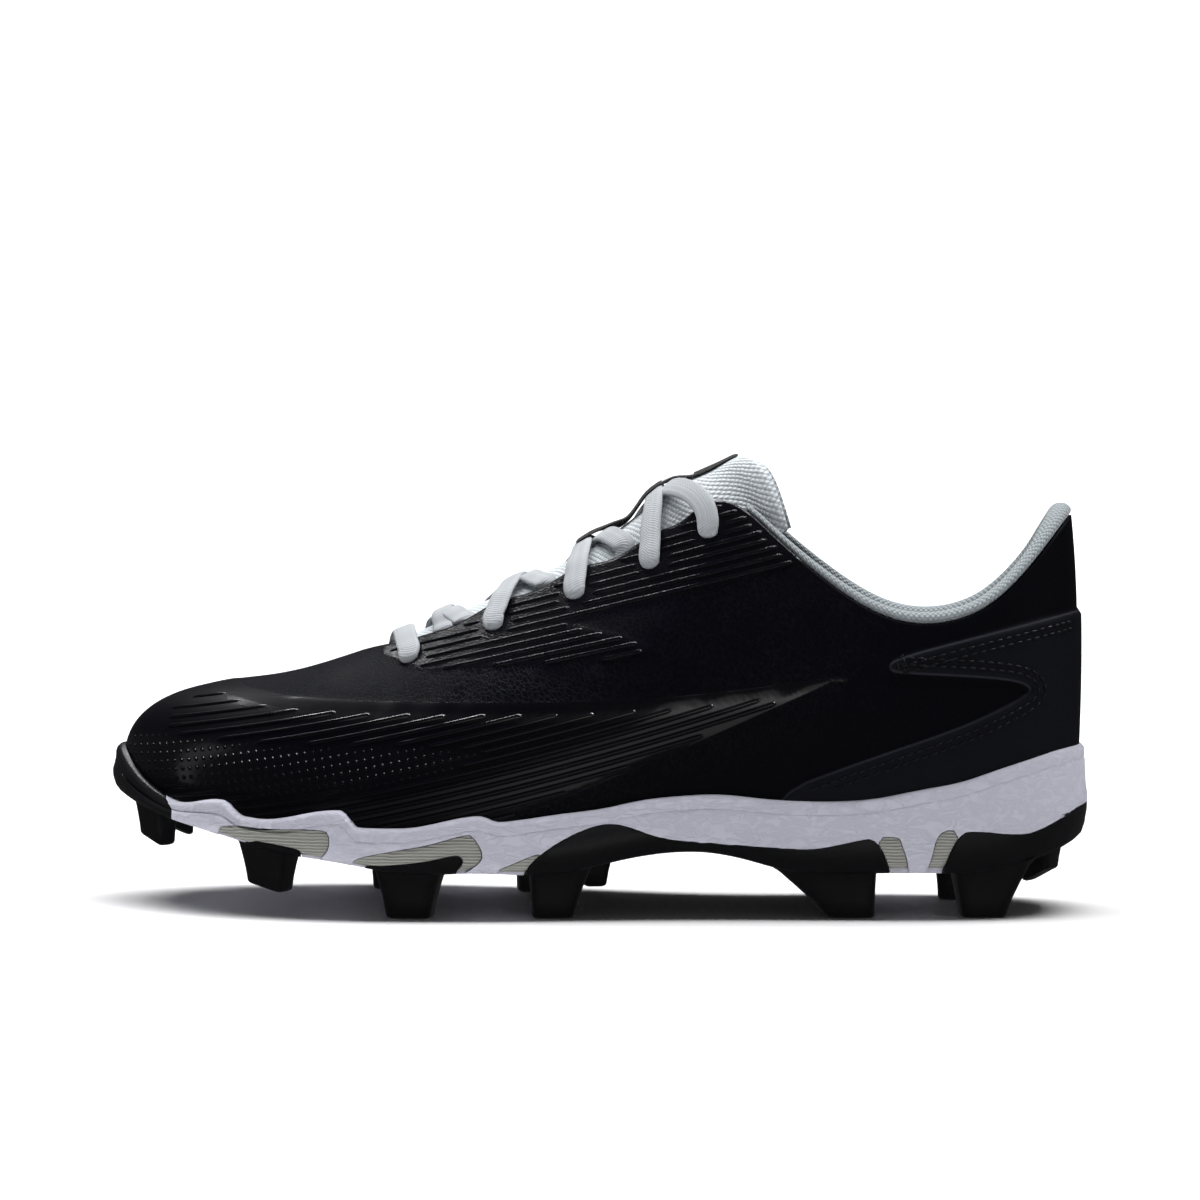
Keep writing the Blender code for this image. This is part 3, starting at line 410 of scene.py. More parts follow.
def inside_by(x, z, outline):
    """Signed distance into a side outline, positive inside."""
    points = np.asarray(outline, float)
    spot = np.stack((x, z), -1)
    best = np.full(len(spot), 1e9)
    odd = np.zeros(len(spot), bool)
    for a, b in zip(points, np.roll(points, -1, 0)):
        side = b - a
        share = np.clip(((spot - a) @ side) / (side @ side), 0, 1)
        best = np.minimum(best, np.linalg.norm(spot - a - share[:, None] * side, axis=1))
        if a[1] != b[1]:
            spans = (a[1] > spot[:, 1]) != (b[1] > spot[:, 1])
            odd ^= spans & (spot[:, 0] < a[0] + (spot[:, 1] - a[1]) / (b[1] - a[1]) * side[0])
    return np.where(odd, best, -best)


def ease(low, high, values):
    """Smooth step from 0 at low to 1 at high."""
    t = np.clip((values - low) / (high - low), 0, 1)
    return t * t * (3 - 2 * t)


# Moulded film over the forefoot and the ribbed eyestay, side outlines on the upper; the ribs end
# on FILM_EDGE and the plain margin of the film reaches beyond it
FILM_EDGE = (
    (-113, 84.0), (-109, 64.0), (-105, 60.3), (-97, 58.2), (-85, 56.8), (-60, 55.9), (-20, 55.9),
    (0, 56.4), (20, 57.4), (40, 59.4), (66, 63.0),
)
FILM_MARGIN = 2.6
FILM_TAIL = ((-20, 27.4), (-7, 32.9), (23.6, 45.6), (54.6, 59.4), (66, 64.6))
FILM_RISE = 0.2
# Ribs of the film: x and slope
RIB_SLOPE = ((-140, 0.08), (-90, 0.16), (-56, 0.21), (-28, 0.24), (0, 0.27), (40, 0.32), (66, 0.37))
RIB_PITCH = 2.38
DOT_ZONE = (
    (-140, 47), (-120, 47.6), (-95, 46.2), (-70, 46.0), (-45, 46.4), (-30, 45.2), (-36, 42.0),
    (-60, 36.5), (-90, 33.5), (-120, 36.5), (-140, 38),
)
DOT_PITCH = 2.3
DOT_LEAN = (0.97, 0.235)
EYESTAY = (
    (-66, 130), (-60, 71.0), (-47, 66.5), (-26, 67.9), (-5, 69.3), (9, 70.1), (18.2, 73.4),
    (10, 76.8), (-5.0, 79.8), (3.7, 82.4), (20.4, 86.7), (44, 92.7), (60, 97.6), (60, 130),
)
# Heel overlay: 1.2 mm synthetic leather stitched round the heel with two arms forward
COUNTER = (
    (150, 85.5), (134, 83.4), (120.3, 80.2), (96, 74.2), (84, 70.8), (81.6, 69.4), (81.6, 67.8),
    (84, 67.0), (106.2, 65.9), (116.2, 64.6), (119.6, 62.8), (119.4, 61.2), (112.4, 57.3),
    (100.3, 51.8), (73.4, 42.7), (50.5, 34.0), (50.5, 20), (150, 20),
)
COUNTER_RISE = 1.2
# Soft creases: middle x and z, half length, half width, lean in degrees, depth
CREASES = (
    (-44.0, 63.0, 17.0, 2.6, 62, 0.40), (-56.0, 61.0, 15.0, 2.4, 66, 0.35),
    (-33.0, 61.5, 13.0, 2.2, 60, 0.28), (24.0, 76.0, 16.0, 3.0, 52, 0.30),
    (38.0, 72.0, 15.0, 2.8, 58, 0.30), (54.0, 66.0, 14.0, 3.0, 66, 0.28),
    (70.0, 60.0, 13.0, 3.2, 74, 0.25), (6.0, 64.5, 12.0, 2.6, 50, 0.25),
    (30.0, 43.0, 22.0, 2.6, 10, 0.25),
)
# Each crease has a low rim on both sides: share of its depth, and how many half widths off it lies
CREASE_RIM = 0.5
CREASE_RIM_OFF = 1.9
# The film's edges are slanted, so that a height over them counts less; its tail ends at FILM_END
EDGE_SLANT = 0.94
TAIL_SLANT = 0.92
FILM_END = 70.0
END_SLANT = 0.4
PANEL_EDGE = 0.6
COUNTER_EDGE = 0.7
RIB_SPAN = 150
RIB_INSET = 0.5
RIB_TIP = (0.0, 0.5)
RIB_TIP_END = (1.4, 3.0)
# Shine and loss of grain: an amount and the two values between which it comes in
SHINE_LEAST = 0.1
SHINE_BACK = (0.45, -60, 0)
SHINE_TIPS = (0.9, -112, -98)
SHINE_DOTS = (0.3, -2, 2)
GRAIN_LOSS = ((0.65, -25, 15), (0.8, 60, 95))
GRAIN_LOSS_TAIL = (0.85, 0, 14)


def ramp(row, values):
    """Amount that comes in smoothly between two values."""
    amount, low, high = row
    return amount * ease(low, high, values)


def rib_climb(x):
    """Height that the ribs of the film gain on their way back to a place."""
    fine = np.linspace(-RIB_SPAN, RIB_SPAN, 2 * RIB_SPAN + 1)
    return np.interp(x, fine, np.cumsum(np.interp(fine, *zip(*RIB_SLOPE))))


def upper_fields(x, z):
    """Distances into each zone, rib phases, shine and grain, from the side view of the upper."""
    under_edge = (np.interp(x, *zip(*FILM_EDGE)) - z) * EDGE_SLANT
    above_tail = (z - np.interp(x, *zip(*FILM_TAIL))) * TAIL_SLANT
    above_tail = np.where(x > FILM_TAIL[0][0], above_tail, np.inf)
    above_tail = np.minimum(above_tail, (FILM_END - x) * END_SLANT)
    dots = inside_by(x, z, DOT_ZONE)
    rib_tip = ease(*RIB_TIP, under_edge) * (1 - ease(*RIB_TIP_END, under_edge))
    shine = SHINE_LEAST + ramp(SHINE_BACK, x) + ramp(SHINE_DOTS, dots)
    shine += ramp(SHINE_TIPS, x) * rib_tip
    grain = 1 - ramp(GRAIN_LOSS_TAIL, -above_tail)
    for row in GRAIN_LOSS:
        grain *= 1 - ramp(row, x)
    return {
        "film": np.minimum(under_edge + FILM_MARGIN, above_tail),
        "film_ribs": np.minimum(under_edge, above_tail - RIB_INSET),
        "film_rib": (z - rib_climb(x)) / RIB_PITCH,
        "film_dot": (DOT_LEAN[0] * x + DOT_LEAN[1] * z) / DOT_PITCH,
        "dots": dots,
        "eyestay": inside_by(x, z, EYESTAY),
        "counter": inside_by(x, z, soften(COUNTER, 2)),
        "shine": shine,
        "grain": grain,
    }


def upper_relief(x, z):
    """Height of the panels and creases over the plain last."""
    zone = upper_fields(x, z)
    rise = COUNTER_RISE * ease(-COUNTER_EDGE, COUNTER_EDGE, zone["counter"])
    for panel in ("film", "eyestay"):
        rise += FILM_RISE * ease(-PANEL_EDGE, PANEL_EDGE, zone[panel])
    for mid_x, mid_z, long, wide, lean, deep in CREASES:
        c, s = math.cos(math.radians(lean)), math.sin(math.radians(lean))
        u = ((x - mid_x) * c + (z - mid_z) * s) / long
        w = np.abs((z - mid_z) * c - (x - mid_x) * s) / wide
        rim = CREASE_RIM * np.exp(-((w - CREASE_RIM_OFF) ** 2))
        rise += deep * np.exp(-(u**2)) * (rim - np.exp(-(w**2)))
    return rise


def throat_scallop(q):
    """How far the throat edge dips between the lace holes."""
    rows = np.array((EYELET_ROWS if q > 0 else INNER_ROWS)[::-1])
    phase = np.interp(np.abs(q), rows, np.arange(len(rows)), left=0, right=len(rows) - 1)
    return SCALLOP * (0.5 - 0.5 * np.cos(2 * np.pi * phase))


def grid_faces(rows, columns):
    """Quads of a grid of points stored row after row."""
    a = (np.arange(rows - 1)[:, None] * columns + np.arange(columns - 1)).ravel()
    return np.stack((a, a + 1, a + columns + 1, a + columns), 1).tolist()


def ring_faces(rings, size):
    """Quads between closed rings of points stored ring after ring."""
    c = np.arange(size)
    d = (c + 1) % size
    ring = np.stack((c, d, size + d, size + c), 1)
    return np.concatenate([ring + r * size for r in range(rings - 1)]).tolist()


def finished(piece):
    """Apply the modifiers of a piece, so that it is a plain mesh."""
    graph = bpy.context.evaluated_depsgraph_get()
    mesh = bpy.data.meshes.new_from_object(piece.evaluated_get(graph))
    piece.modifiers.clear()
    piece.data = mesh
    return piece


def cut(piece, operation, cutter, keep=False):
    """Cut or join a piece with another one, leave the plain result and drop the other one."""
    mod = piece.modifiers.new(operation.title(), "BOOLEAN")
    mod.operation = operation
    mod.solver = "EXACT"
    mod.object = cutter
    finished(piece)
    if not keep:
        bpy.data.objects.remove(cutter)


upper_q = np.linspace(0, 2 * TOE, UPPER_COLUMNS + 1)
grid_q = np.repeat(upper_q, UPPER_ROWS + 1)
edge_share = np.zeros(len(upper_q))
for i, q in enumerate(wrap(upper_q)):
    if SCALLOPED[0] < abs(q) < SCALLOPED[1]:
        edge_share[i] = 1 - below_edge(float(q), throat_scallop(q))
grid_v = (np.linspace(0, 1, UPPER_ROWS + 1)[None, :] * (1 - edge_share[:, None])).ravel()
plain = last(grid_q, grid_v)
relief = upper_relief(plain[:, 0], plain[:, 2])
lift_way = last_normal(grid_q, grid_v)
lift_way[(np.abs(wrap(grid_q)) >= THROAT_FRONT) & (grid_v == 1)] = UP
upper_points = plain + relief[:, None] * lift_way

# Coated synthetic leather: deep black with a low satin sheen and fine crackled lines, which are
# painted a lighter grey as painted highlights, under a hard lacquer film that shows thin bright lines
# along its ribs
LEATHER = "07070e"
leather, tree = new_material(
    "coated_synthetic_leather", LEATHER, 0.6, Specular_IOR_Level=0.05, Coat_Roughness=0.14
)
upper_faces = grid_faces(len(upper_q), UPPER_ROWS + 1)
upper = make_piece("upper_shell", upper_points, upper_faces, leather, closed=False)
wall = upper.modifiers.new("Wall", "SOLIDIFY")
wall.thickness = WALL * MM
wall.offset = -1
bm = bmesh.new()
for q in EYELET_ROWS + tuple(-row for row in INNER_ROWS):
    v = below_edge(q, EYELET_IN)
    centre = Vector(placed(last(q, v)))
    turn = Vector(UP).rotation_difference(Vector(last_normal(q, v))).to_matrix().to_4x4()
    bmesh.ops.create_cone(
        bm, cap_ends=True, segments=EYELET_SIDES, radius1=EYELET_DIAMETER / 2 * MM,
        radius2=EYELET_DIAMETER / 2 * MM, depth=4 * WALL * MM, matrix=Matrix.Translation(centre) @ turn,
    )
punch_mesh = bpy.data.meshes.new("eyelet_punch")
bm.to_mesh(punch_mesh)
bm.free()
cut(upper, "DIFFERENCE", link_new("eyelet_punch", punch_mesh))


def in_shoe(places):
    """Shoe millimetres of places in the frame."""
    return np.asarray(places, float) / MM - SHIFT


def store_fields(mesh):
    """Keep the upper's fields on a mesh, for its material."""
    places = np.empty(len(mesh.vertices) * 3)
    mesh.vertices.foreach_get("co", places)
    places = in_shoe(places.reshape(-1, 3))
    for name, values in upper_fields(places[:, 0], places[:, 2]).items():
        mesh.attributes.new(name, "FLOAT", "POINT").data.foreach_set("value", values.astype(np.float32))


store_fields(upper.data)
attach(upper, "root")
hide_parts("upper", "heel_counter")

# The crackle is drawn about a third coarser than on the shoe, where it would be too fine to show
CRACKLE_CELL = (1.15, 1.15, 2.3)
CRACKLE_LEAN = -27.0
CRACKLE_WARP = (1.1, 1.1, 1.1)
CRACKLE_DEEP = -0.1
PATCH_SIZE = 9.0
PORE_SIZE, PORE_DEEP = 0.6, 0.05
BEAD_SIZE, BEAD_HIGH = 0.55, 0.14
DOT_SHARP, DOT_HIGH = 5.0, 0.5
COUNTER_LIP = 0.3
FILM_ROUGH, STAY_ROUGH, STAY_SHINE = 0.42, 0.4, 0.3
# Masks of the panels: distances into each at which it starts and is full
MASKS = (("film", -0.25, 0.25), ("eyestay", -0.25, 0.6), ("dots", -1.2, 1.2), ("counter", -0.25, 0.25))
field = {}
for name in ("film", "film_rib", "film_dot", "dots", "eyestay", "counter", "shine", "grain"):
    field[name] = node(tree, "Attribute", (), "Fac", attribute_name=name)
masks = {}
for name, low, high in MASKS:
    span = {"Value": field[name], "From Min": low, "From Max": high}
    masks[name] = node(tree, "MapRange", span, interpolation_type="SMOOTHSTEP")
spot = node(tree, "TexCoord", (), "Object")
film_height = node(tree, "Math.MULTIPLY", (masks["dots"], DOT_HIGH))
for phase in (field["film_rib"], field["film_dot"]):
    turn = node(tree, "Math.MULTIPLY", (phase, 2 * math.pi))
    wave = node(tree, "Math.COSINE", (turn,))
    dot = node(tree, "Math.MULTIPLY_ADD", (wave, 0.499, 0.5))
    dot = node(tree, "Math.POWER", (dot, DOT_SHARP))
    film_height = node(tree, "Math.MULTIPLY", (film_height, dot))
beads = node(tree, "TexNoise", {"Vector": spot, "Scale": 1 / (BEAD_SIZE * MM), "Detail": 1.0}, "Fac")
stay_height = node(tree, "Math.MULTIPLY", (beads, BEAD_HIGH))
cells = node(
    tree, "Mapping",
    {
        "Vector": spot, "Rotation": (0.0, math.radians(CRACKLE_LEAN), 0.0),
        "Scale": tuple(c * MM for c in CRACKLE_CELL),
    },
    vector_type="TEXTURE",
)
warp = node(tree, "TexNoise", {"Vector": cells, "Scale": 0.9, "Detail": 2.0}, "Color")
cells = node(tree, "VectorMath.MULTIPLY_ADD", (warp, CRACKLE_WARP, cells))
crack = node(tree, "TexVoronoi", {"Vector": cells, "Scale": 1.0}, "Distance", feature="DISTANCE_TO_EDGE")
crack_glint_line = node(
    tree, "MapRange", {"Value": crack, "From Max": 0.12, "To Min": 1.0, "To Max": 0.0},
    interpolation_type="SMOOTHSTEP",
)
patch = node(tree, "TexNoise", {"Vector": spot, "Scale": 1 / (PATCH_SIZE * MM), "Detail": 2.0}, "Fac")
patch_share = node(tree, "MapRange", {"Value": patch, "From Min": 0.3, "From Max": 0.6, "To Min": 0.35})
smooth = node(tree, "Math.MULTIPLY_ADD", (masks["counter"], -0.85, 1.0))
for share in (field["grain"], patch_share, smooth):
    crack_glint_line = node(tree, "Math.MULTIPLY", (crack_glint_line, share))
pore = node(tree, "TexNoise", {"Vector": spot, "Scale": 1 / (PORE_SIZE * MM), "Detail": 2.0}, "Fac")
height = node(tree, "Math.MULTIPLY", (crack_glint_line, CRACKLE_DEEP))
height = node(tree, "Math.MULTIPLY_ADD", (pore, PORE_DEEP, height))
rough = node(tree, "Math.MULTIPLY_ADD", (patch, 0.08, 0.54))
for name, raised, even in (("film", film_height, FILM_ROUGH), ("eyestay", stay_height, STAY_ROUGH)):
    height = node(tree, "Mix", {0: masks[name], 2: height, 3: raised})
    rough = node(tree, "Mix", {0: masks[name], 2: rough, 3: even})
height = node(tree, "Math.MULTIPLY_ADD", (masks["counter"], COUNTER_LIP, height))
node(tree, "Bump", {"Height": height, "Distance": MM, "Strength": 1.0}, to=("Normal", "Coat Normal"))
# Painted highlights: the crack lines are painted a lighter grey than the leather
shade = node(tree, "Mix", {0: crack_glint_line, 6: LEATHER, 7: "191a20"}, 2, data_type="RGBA")
# Painted highlight: a thin lighter line painted along the heel overlay's cut edge
cut_edge_highlight = node(tree, "Math.ABSOLUTE", (field["counter"],))
cut_edge_highlight = node(tree, "MapRange", {"Value": cut_edge_highlight, "From Max": 0.5, "To Min": 0.5, "To Max": 0.0})
# Painted sheen: the heel overlay is painted a lighter black than the rest of the leather; film and
# eyestay get their own blacks
for share, code in (
    (masks["counter"], "121319"), (cut_edge_highlight, "3a3b42"), (masks["film"], "05050b"),
    (masks["eyestay"], "08080f"),
):
    shade = node(tree, "Mix", {0: share, 6: shade, 7: code}, 2, data_type="RGBA")
shader = tree.nodes["Principled BSDF"]
tree.links.new(rough, shader.inputs["Roughness"])
tree.links.new(shade, shader.inputs["Base Color"])
gloss = node(tree, "Math.MULTIPLY", (masks["film"], field["shine"]))
node(tree, "Mix", {0: masks["eyestay"], 2: gloss, 3: STAY_SHINE}, to=("Coat Weight",))


# Heel overlay stitching: two rows of black bonded thread, lockstitched 2.2 and 4.1 mm inside the
# overlay's edge through overlay and upper on both sides of the shoe.
STITCH_PITCH = 2.7
STITCH_LONG = 2.1
STITCH_THICK = 0.6
STITCH_ROWS = (2.2, 4.1)
STITCH_LIFT = 0.12
STITCH_BACK = 131.0
STITCH_GAP = 25.0
# The stitches stop over the edge of the sole: x and lowest height
STITCH_LOW = ((50, 34.0), (62, 35.0), (100, 40.0), (132, 49.0))
MITRE_LEAST = 0.4
RAY_FROM = 120.0
# Bonded nylon: thin black stitches that only their sheen sets off from the leather
thread, tree = new_material("bonded_nylon_thread", "0f0f15", 0.4, Specular_IOR_Level=0.35)
spot = node(tree, "TexCoord", (), "Object")
twist = node(tree, "TexNoise", {"Vector": spot, "Scale": 1 / (0.35 * MM), "Detail": 1.0}, "Fac")
node(tree, "Bump", {"Height": twist, "Distance": 0.06 * MM}, to=("Normal",))


def grow(outline, distance):
    """Outline moved outwards by a distance, with mitred corners."""
    points = np.asarray(outline, float)
    after = np.roll(points, -1, 0)
    area = np.sum(points[:, 0] * after[:, 1] - after[:, 0] * points[:, 1])
    sides = unit(after - points)
    normals = np.stack((sides[:, 1], -sides[:, 0]), 1) * (1 if area > 0 else -1)
    bisector = unit(np.roll(normals, 1, 0) + normals)
    stretch = np.maximum(np.sum(bisector * normals, 1), MITRE_LEAST)
    return points + bisector * (distance / stretch)[:, None]


def stitch_tree(mat):
    """Geometry Nodes: rounded stitches end to end along every edge line of the input mesh."""
    group = bpy.data.node_groups.new("stitch_row", "GeometryNodeTree")
    names = {}
    kinds = {"Lines": "Geometry", "Pitch": "Float", "Long": "Float", "Thick": "Float"}
    for name, kind in kinds.items():
        socket = group.interface.new_socket(name, in_out="INPUT", socket_type="NodeSocket" + kind)
        names[name] = socket.identifier
    group.interface.new_socket("Stitches", in_out="OUTPUT", socket_type="NodeSocketGeometry")
    given = {name: node(group, "NodeGroupInput", (), name) for name in names}
    line = node(group, "GeometryNodeMeshToCurve", {"Mesh": given["Lines"]}, "Curve")
    spaced = node(
        group, "GeometryNodeResampleCurve", {"Curve": line, "Length": given["Pitch"]}, "Curve",
        mode="LENGTH",
    )
    tangent = node(group, "GeometryNodeInputTangent", (), "Tangent")
    turned = node(group, "FunctionNodeAlignRotationToVector", {"Vector": tangent}, "Rotation", axis="X")
    ball = node(group, "GeometryNodeMeshUVSphere", {"Segments": 8, "Rings": 6, "Radius": 0.5}, "Mesh")
    size = node(group, "CombineXYZ", (given["Long"], given["Thick"], given["Thick"]))
    stitch = node(group, "GeometryNodeTransform", {"Geometry": ball, "Scale": size}, "Geometry")
    placed = node(
        group, "GeometryNodeInstanceOnPoints", {"Points": spaced, "Instance": stitch, "Rotation": turned},
        "Instances"
    )
    real = node(group, "GeometryNodeRealizeInstances", {"Geometry": placed}, "Geometry")
    coloured = node(group, "GeometryNodeSetMaterial", {"Geometry": real, "Material": mat}, "Geometry")
    node(group, "NodeGroupOutput", {"Stitches": coloured})
    return group, names


def ray_tree(*pieces):
    """Search tree of the faces of some pieces, for rays cast on them."""
    bm = bmesh.new()
    for piece in pieces:
        bm.from_mesh(piece.data)
    faces = BVHTree.FromBMesh(bm)
    bm.free()
    return faces


upper_tree = ray_tree(upper)


def on_side(x, z, side, lift):
    """Point on the outside of the upper seen from one side, lifted off it."""
    start = Vector(placed((x, side * RAY_FROM, z)))
    hit, normal, _, _ = upper_tree.ray_cast(start, Vector((0, -side, 0)))
    return None if hit is None else in_shoe(hit + normal * lift * MM)


line_points, line_edges = [], []
for inset in STITCH_ROWS:
    run = soften(grow(soften(COUNTER, 2), -inset), 1)
    over_sole = run[:, 1] > np.interp(run[:, 0], *zip(*STITCH_LOW))
    run = run[(run[:, 0] < STITCH_BACK) & over_sole]
    for side in (-1, 1):
        row = [on_side(x, z, side, STITCH_LIFT) for x, z in run]
        for before, point in zip([None] + row, row):
            if point is None:
                continue
            line_points.append(point)
            if before is not None and np.linalg.norm(before - point) < STITCH_GAP:
                line_edges.append((len(line_points) - 2, len(line_points) - 1))
stitch_mesh = bpy.data.meshes.new("counter_stitches")
stitch_mesh.from_pydata(placed(line_points).tolist(), line_edges, [])
stitches = link_new("counter_stitches", stitch_mesh)
group, inputs = stitch_tree(thread)
sewing = stitches.modifiers.new("Sewing", "NODES")
sewing.node_group = group
for name, value in (("Pitch", STITCH_PITCH), ("Long", STITCH_LONG), ("Thick", STITCH_THICK)):
    sewing[inputs[name]] = value * MM
finished(stitches)
stitches.data.shade_smooth()
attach(stitches, "root")


# Moulded ribs: raised lines pressed into the film and the eyestay, 0.4 mm high. They are one with
# the upper and stop short of the film's plain margin, the dots and the lace holes.
RIB_FROM, RIB_TO, RIB_STEP = -121.0, 70.0, 1.4
# Section of a rib: way across and height
RIB_SECTION = ((-0.95, -0.25), (-0.62, 0.16), (-0.26, 0.42), (0.26, 0.42), (0.62, 0.16), (0.95, -0.25))
RIB_START, RIB_END = -0.2, 1.8
RIB_END_WIDE = 0.5
RIB_END_SINK = 0.1
RIB_LEAST = 4
RIB_IN = 0.4
RIB_UNDER_RIDGE = 1.2
RIB_FROM_MIDDLE = 2.0
RIB_FROM_HOLE = 3.3
RIB_FROM_DOTS = 0.8
FILM_RIBS = range(1, 26)
STAY_RIBS = range(-5, 16)
# Lowest rib of the eyestay: height at its front end, slope, then the pitch there and how it widens
STAY_START, STAY_LEVEL, STAY_SLOPE, STAY_PITCH, STAY_WIDEN = -45.6, 66.4, 0.224, 2.05, 0.0055

walk = np.arange(RIB_FROM, RIB_TO, RIB_STEP)
stay_along = walk - STAY_START
stay_low = STAY_LEVEL + STAY_SLOPE * stay_along
rib_lines = [("film_ribs", rib_climb(walk) + n * RIB_PITCH) for n in FILM_RIBS]
rib_lines += [("eyestay", stay_low + n * (STAY_PITCH + STAY_WIDEN * stay_along)) for n in STAY_RIBS]
holes = {}
for side, rows in ((-1, EYELET_ROWS), (1, INNER_ROWS)):
    holes[side] = [last(q, below_edge(q, EYELET_IN)) for q in (-side * row for row in rows)]


def rib_runs(line, kept, side):
    """Unbroken runs of one rib on one side: places on the upper and directions off it."""
    runs = [[]]
    for x, z, keep in zip(walk, line, kept):
        spot = on_side(x, z, side, 0.0) if keep else None
        above = on_side(x, z + RIB_UNDER_RIDGE, side, 0.0) if keep else None
        clear = spot is not None and above is not None
        clear = clear and min(side * spot[1], side * above[1]) > RIB_FROM_MIDDLE
        if clear and min(np.hypot(x - h[0], z - h[2]) for h in holes[side]) > RIB_FROM_HOLE:
            runs[-1].append((spot, unit(on_side(x, z, side, 1.0) - spot)))
        elif runs[-1]:
            runs.append([])
    return [np.array(run) for run in runs if len(run) >= RIB_LEAST]


def rib_rings(spine, out):
    """Sections along a rib, low and narrow at its ends."""
    wide = np.cross(out, unit(np.gradient(spine, axis=0)))
    gone = walked(spine)
    full = ease(RIB_START, RIB_END, np.minimum(gone, gone[-1] - gone))[:, None, None]
    across, up = np.array(RIB_SECTION).T[:, None, :, None]
    rings = spine[:, None] + wide[:, None] * across * (RIB_END_WIDE + (1 - RIB_END_WIDE) * full)
    return rings + out[:, None] * (up * full - RIB_END_SINK * (1 - full))


def tube_faces(rings, size):
    """Quads between closed rings of points and a face at both ends."""
    end = (rings - 1) * size
    return ring_faces(rings, size) + [list(range(size)), list(range(end, end + size))]


rib_points, rib_faces = [], []
for zone, line in rib_lines:
    fields = upper_fields(walk, line)
    kept = (fields[zone] > RIB_IN) & ((zone == "eyestay") | (fields["dots"] < -RIB_FROM_DOTS))
    for side in (-1, 1):
        for run in rib_runs(line, kept, side):
            rings = rib_rings(run[:, 0], run[:, 1])
            start = sum(len(points) for points in rib_points)
            rib_points.append(rings.reshape(-1, 3))
            for face in tube_faces(len(rings), rings.shape[1]):
                rib_faces.append([start + corner for corner in face])
ribs = make_piece("moulded_ribs", np.concatenate(rib_points), rib_faces, leather, crease=75)
store_fields(ribs.data)
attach(ribs, "root")


# Collar: a foam roll covered with light grey spacer mesh, folded over the collar's edge and carried
# down the inside as the heel lining. It thins out towards the lacing.
PAD_FULL = 4.5
PAD_END = 7.5
PAD_THIN = 0.34
PAD_LEAST = 3.7
# Section of the roll: way out from the wall and way up from the collar's edge
PAD_SECTION = (
    (-0.1, 0.4), (0.1, 2.2), (-1.8, 3.8), (-5.0, 3.6), (-7.8, 0.0), (-8.6, -9.0), (-7.0, -20.0),
    (-3.8, -29.0), (-2.45, -29.0), (-2.45, -20.0), (-2.45, -9.0), (-2.45, 0.4),
)
PAD_STATIONS = 320
PAD_UNDER = 0.97
MESH_CELL = 1.5
MESH_TALL = 1.2
MESH_DEEP = 0.5


def mesh_cloth(name, thread_code, hole_code):
    """Spacer mesh: pale cool grey, matt, with staggered rows of small round cells."""
    mat, tree = new_material(name, thread_code, 0.85, Sheen_Weight=0.15, Sheen_Roughness=0.5)
    cell = node(
        tree, "Mapping",
        {
            "Vector": node(tree, "UVMap", uv_map="cloth"), "Rotation": (0.0, 0.0, math.pi / 4),
            "Scale": (math.sqrt(2) / MESH_CELL, math.sqrt(2) / (MESH_TALL * MESH_CELL), 1.0),
        },
    )
    knit = node(
        tree, "TexVoronoi", {"Vector": cell, "Scale": 1.0, "Randomness": 0.12}, "Distance",
        voronoi_dimensions="2D",
    )
    fibre = node(tree, "TexNoise", {"Vector": cell, "Scale": 5.0, "Detail": 2.0}, "Fac")
    height = node(tree, "Math.SUBTRACT", (0.6, knit))
    height = node(tree, "Math.MULTIPLY_ADD", (fibre, 0.1, height))
    node(tree, "Bump", {"Height": height, "Distance": MESH_DEEP * MM}, to=("Normal",))
    hole = node(tree, "MapRange", {"Value": knit, "From Min": 0.36, "From Max": 0.7})
    node(tree, "Mix", {0: hole, 6: thread_code, 7: hole_code}, 2, ("Base Color",), data_type="RGBA")
    return mat


# Collar mesh: the tongue's cloth painted a middle grey as painted shade, which the light from above makes
# as pale as the tongue
collar_mesh = mesh_cloth("collar_spacer_mesh", "979ea2", "717a80")


def cloth_uvs(piece, along, across):
    """UV map in millimetres from each point's way along and across the cloth."""
    layer = piece.data.uv_layers.new(name="cloth")
    index = np.empty(len(piece.data.loops), int)
    piece.data.loops.foreach_get("vertex_index", index)
    pairs = np.stack((along[index], across[index]), 1)
    layer.data.foreach_set("uv", pairs.ravel().astype(np.float32))


pad_q = np.linspace(-PAD_END, PAD_END, PAD_STATIONS + 1)
full = 1 + (PAD_THIN - 1) * ease(PAD_FULL, PAD_END, np.abs(pad_q))
pad_edge = last(pad_q, np.ones_like(pad_q))
pad_up = unit(pad_edge - last(pad_q, np.full_like(pad_q, PAD_UNDER)))
pad_normal = last_normal(pad_q, np.ones_like(pad_q))
rails = []
for out, up in PAD_SECTION:
    reach = np.where(out < -PAD_LEAST, np.minimum(-PAD_LEAST, out * full), out)[:, None]
    if up > 0:
        rails.append(pad_edge + pad_up * up + pad_normal * reach)
    else:
        v = np.array([below_edge(q, -up * f) for q, f in zip(pad_q, full)])
        rails.append(off_last(pad_q, v, reach[:, 0]))
pad_rings = np.stack([soften(ring, 2) for ring in np.stack(rails, 1)])
size = pad_rings.shape[1]
pad_faces = tube_faces(len(pad_rings), size)
collar = make_piece("collar_roll", pad_rings.reshape(-1, 3), pad_faces, collar_mesh, crease=60)
round_way = walked(pad_rings[len(pad_rings) // 2])
cloth_uvs(collar, np.repeat(walked(pad_edge), size), np.tile(round_way, len(pad_rings)))
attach(collar, "root")
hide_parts("collar_pad")


# Tongue: two layers of the same mesh over thin foam, sewn in under the vamp, lying under the
# eyestays and standing free above the top lace row, where its edge is turned and rounded.
TONGUE_THICK = 3.4
TONGUE_CLEAR = 1.1
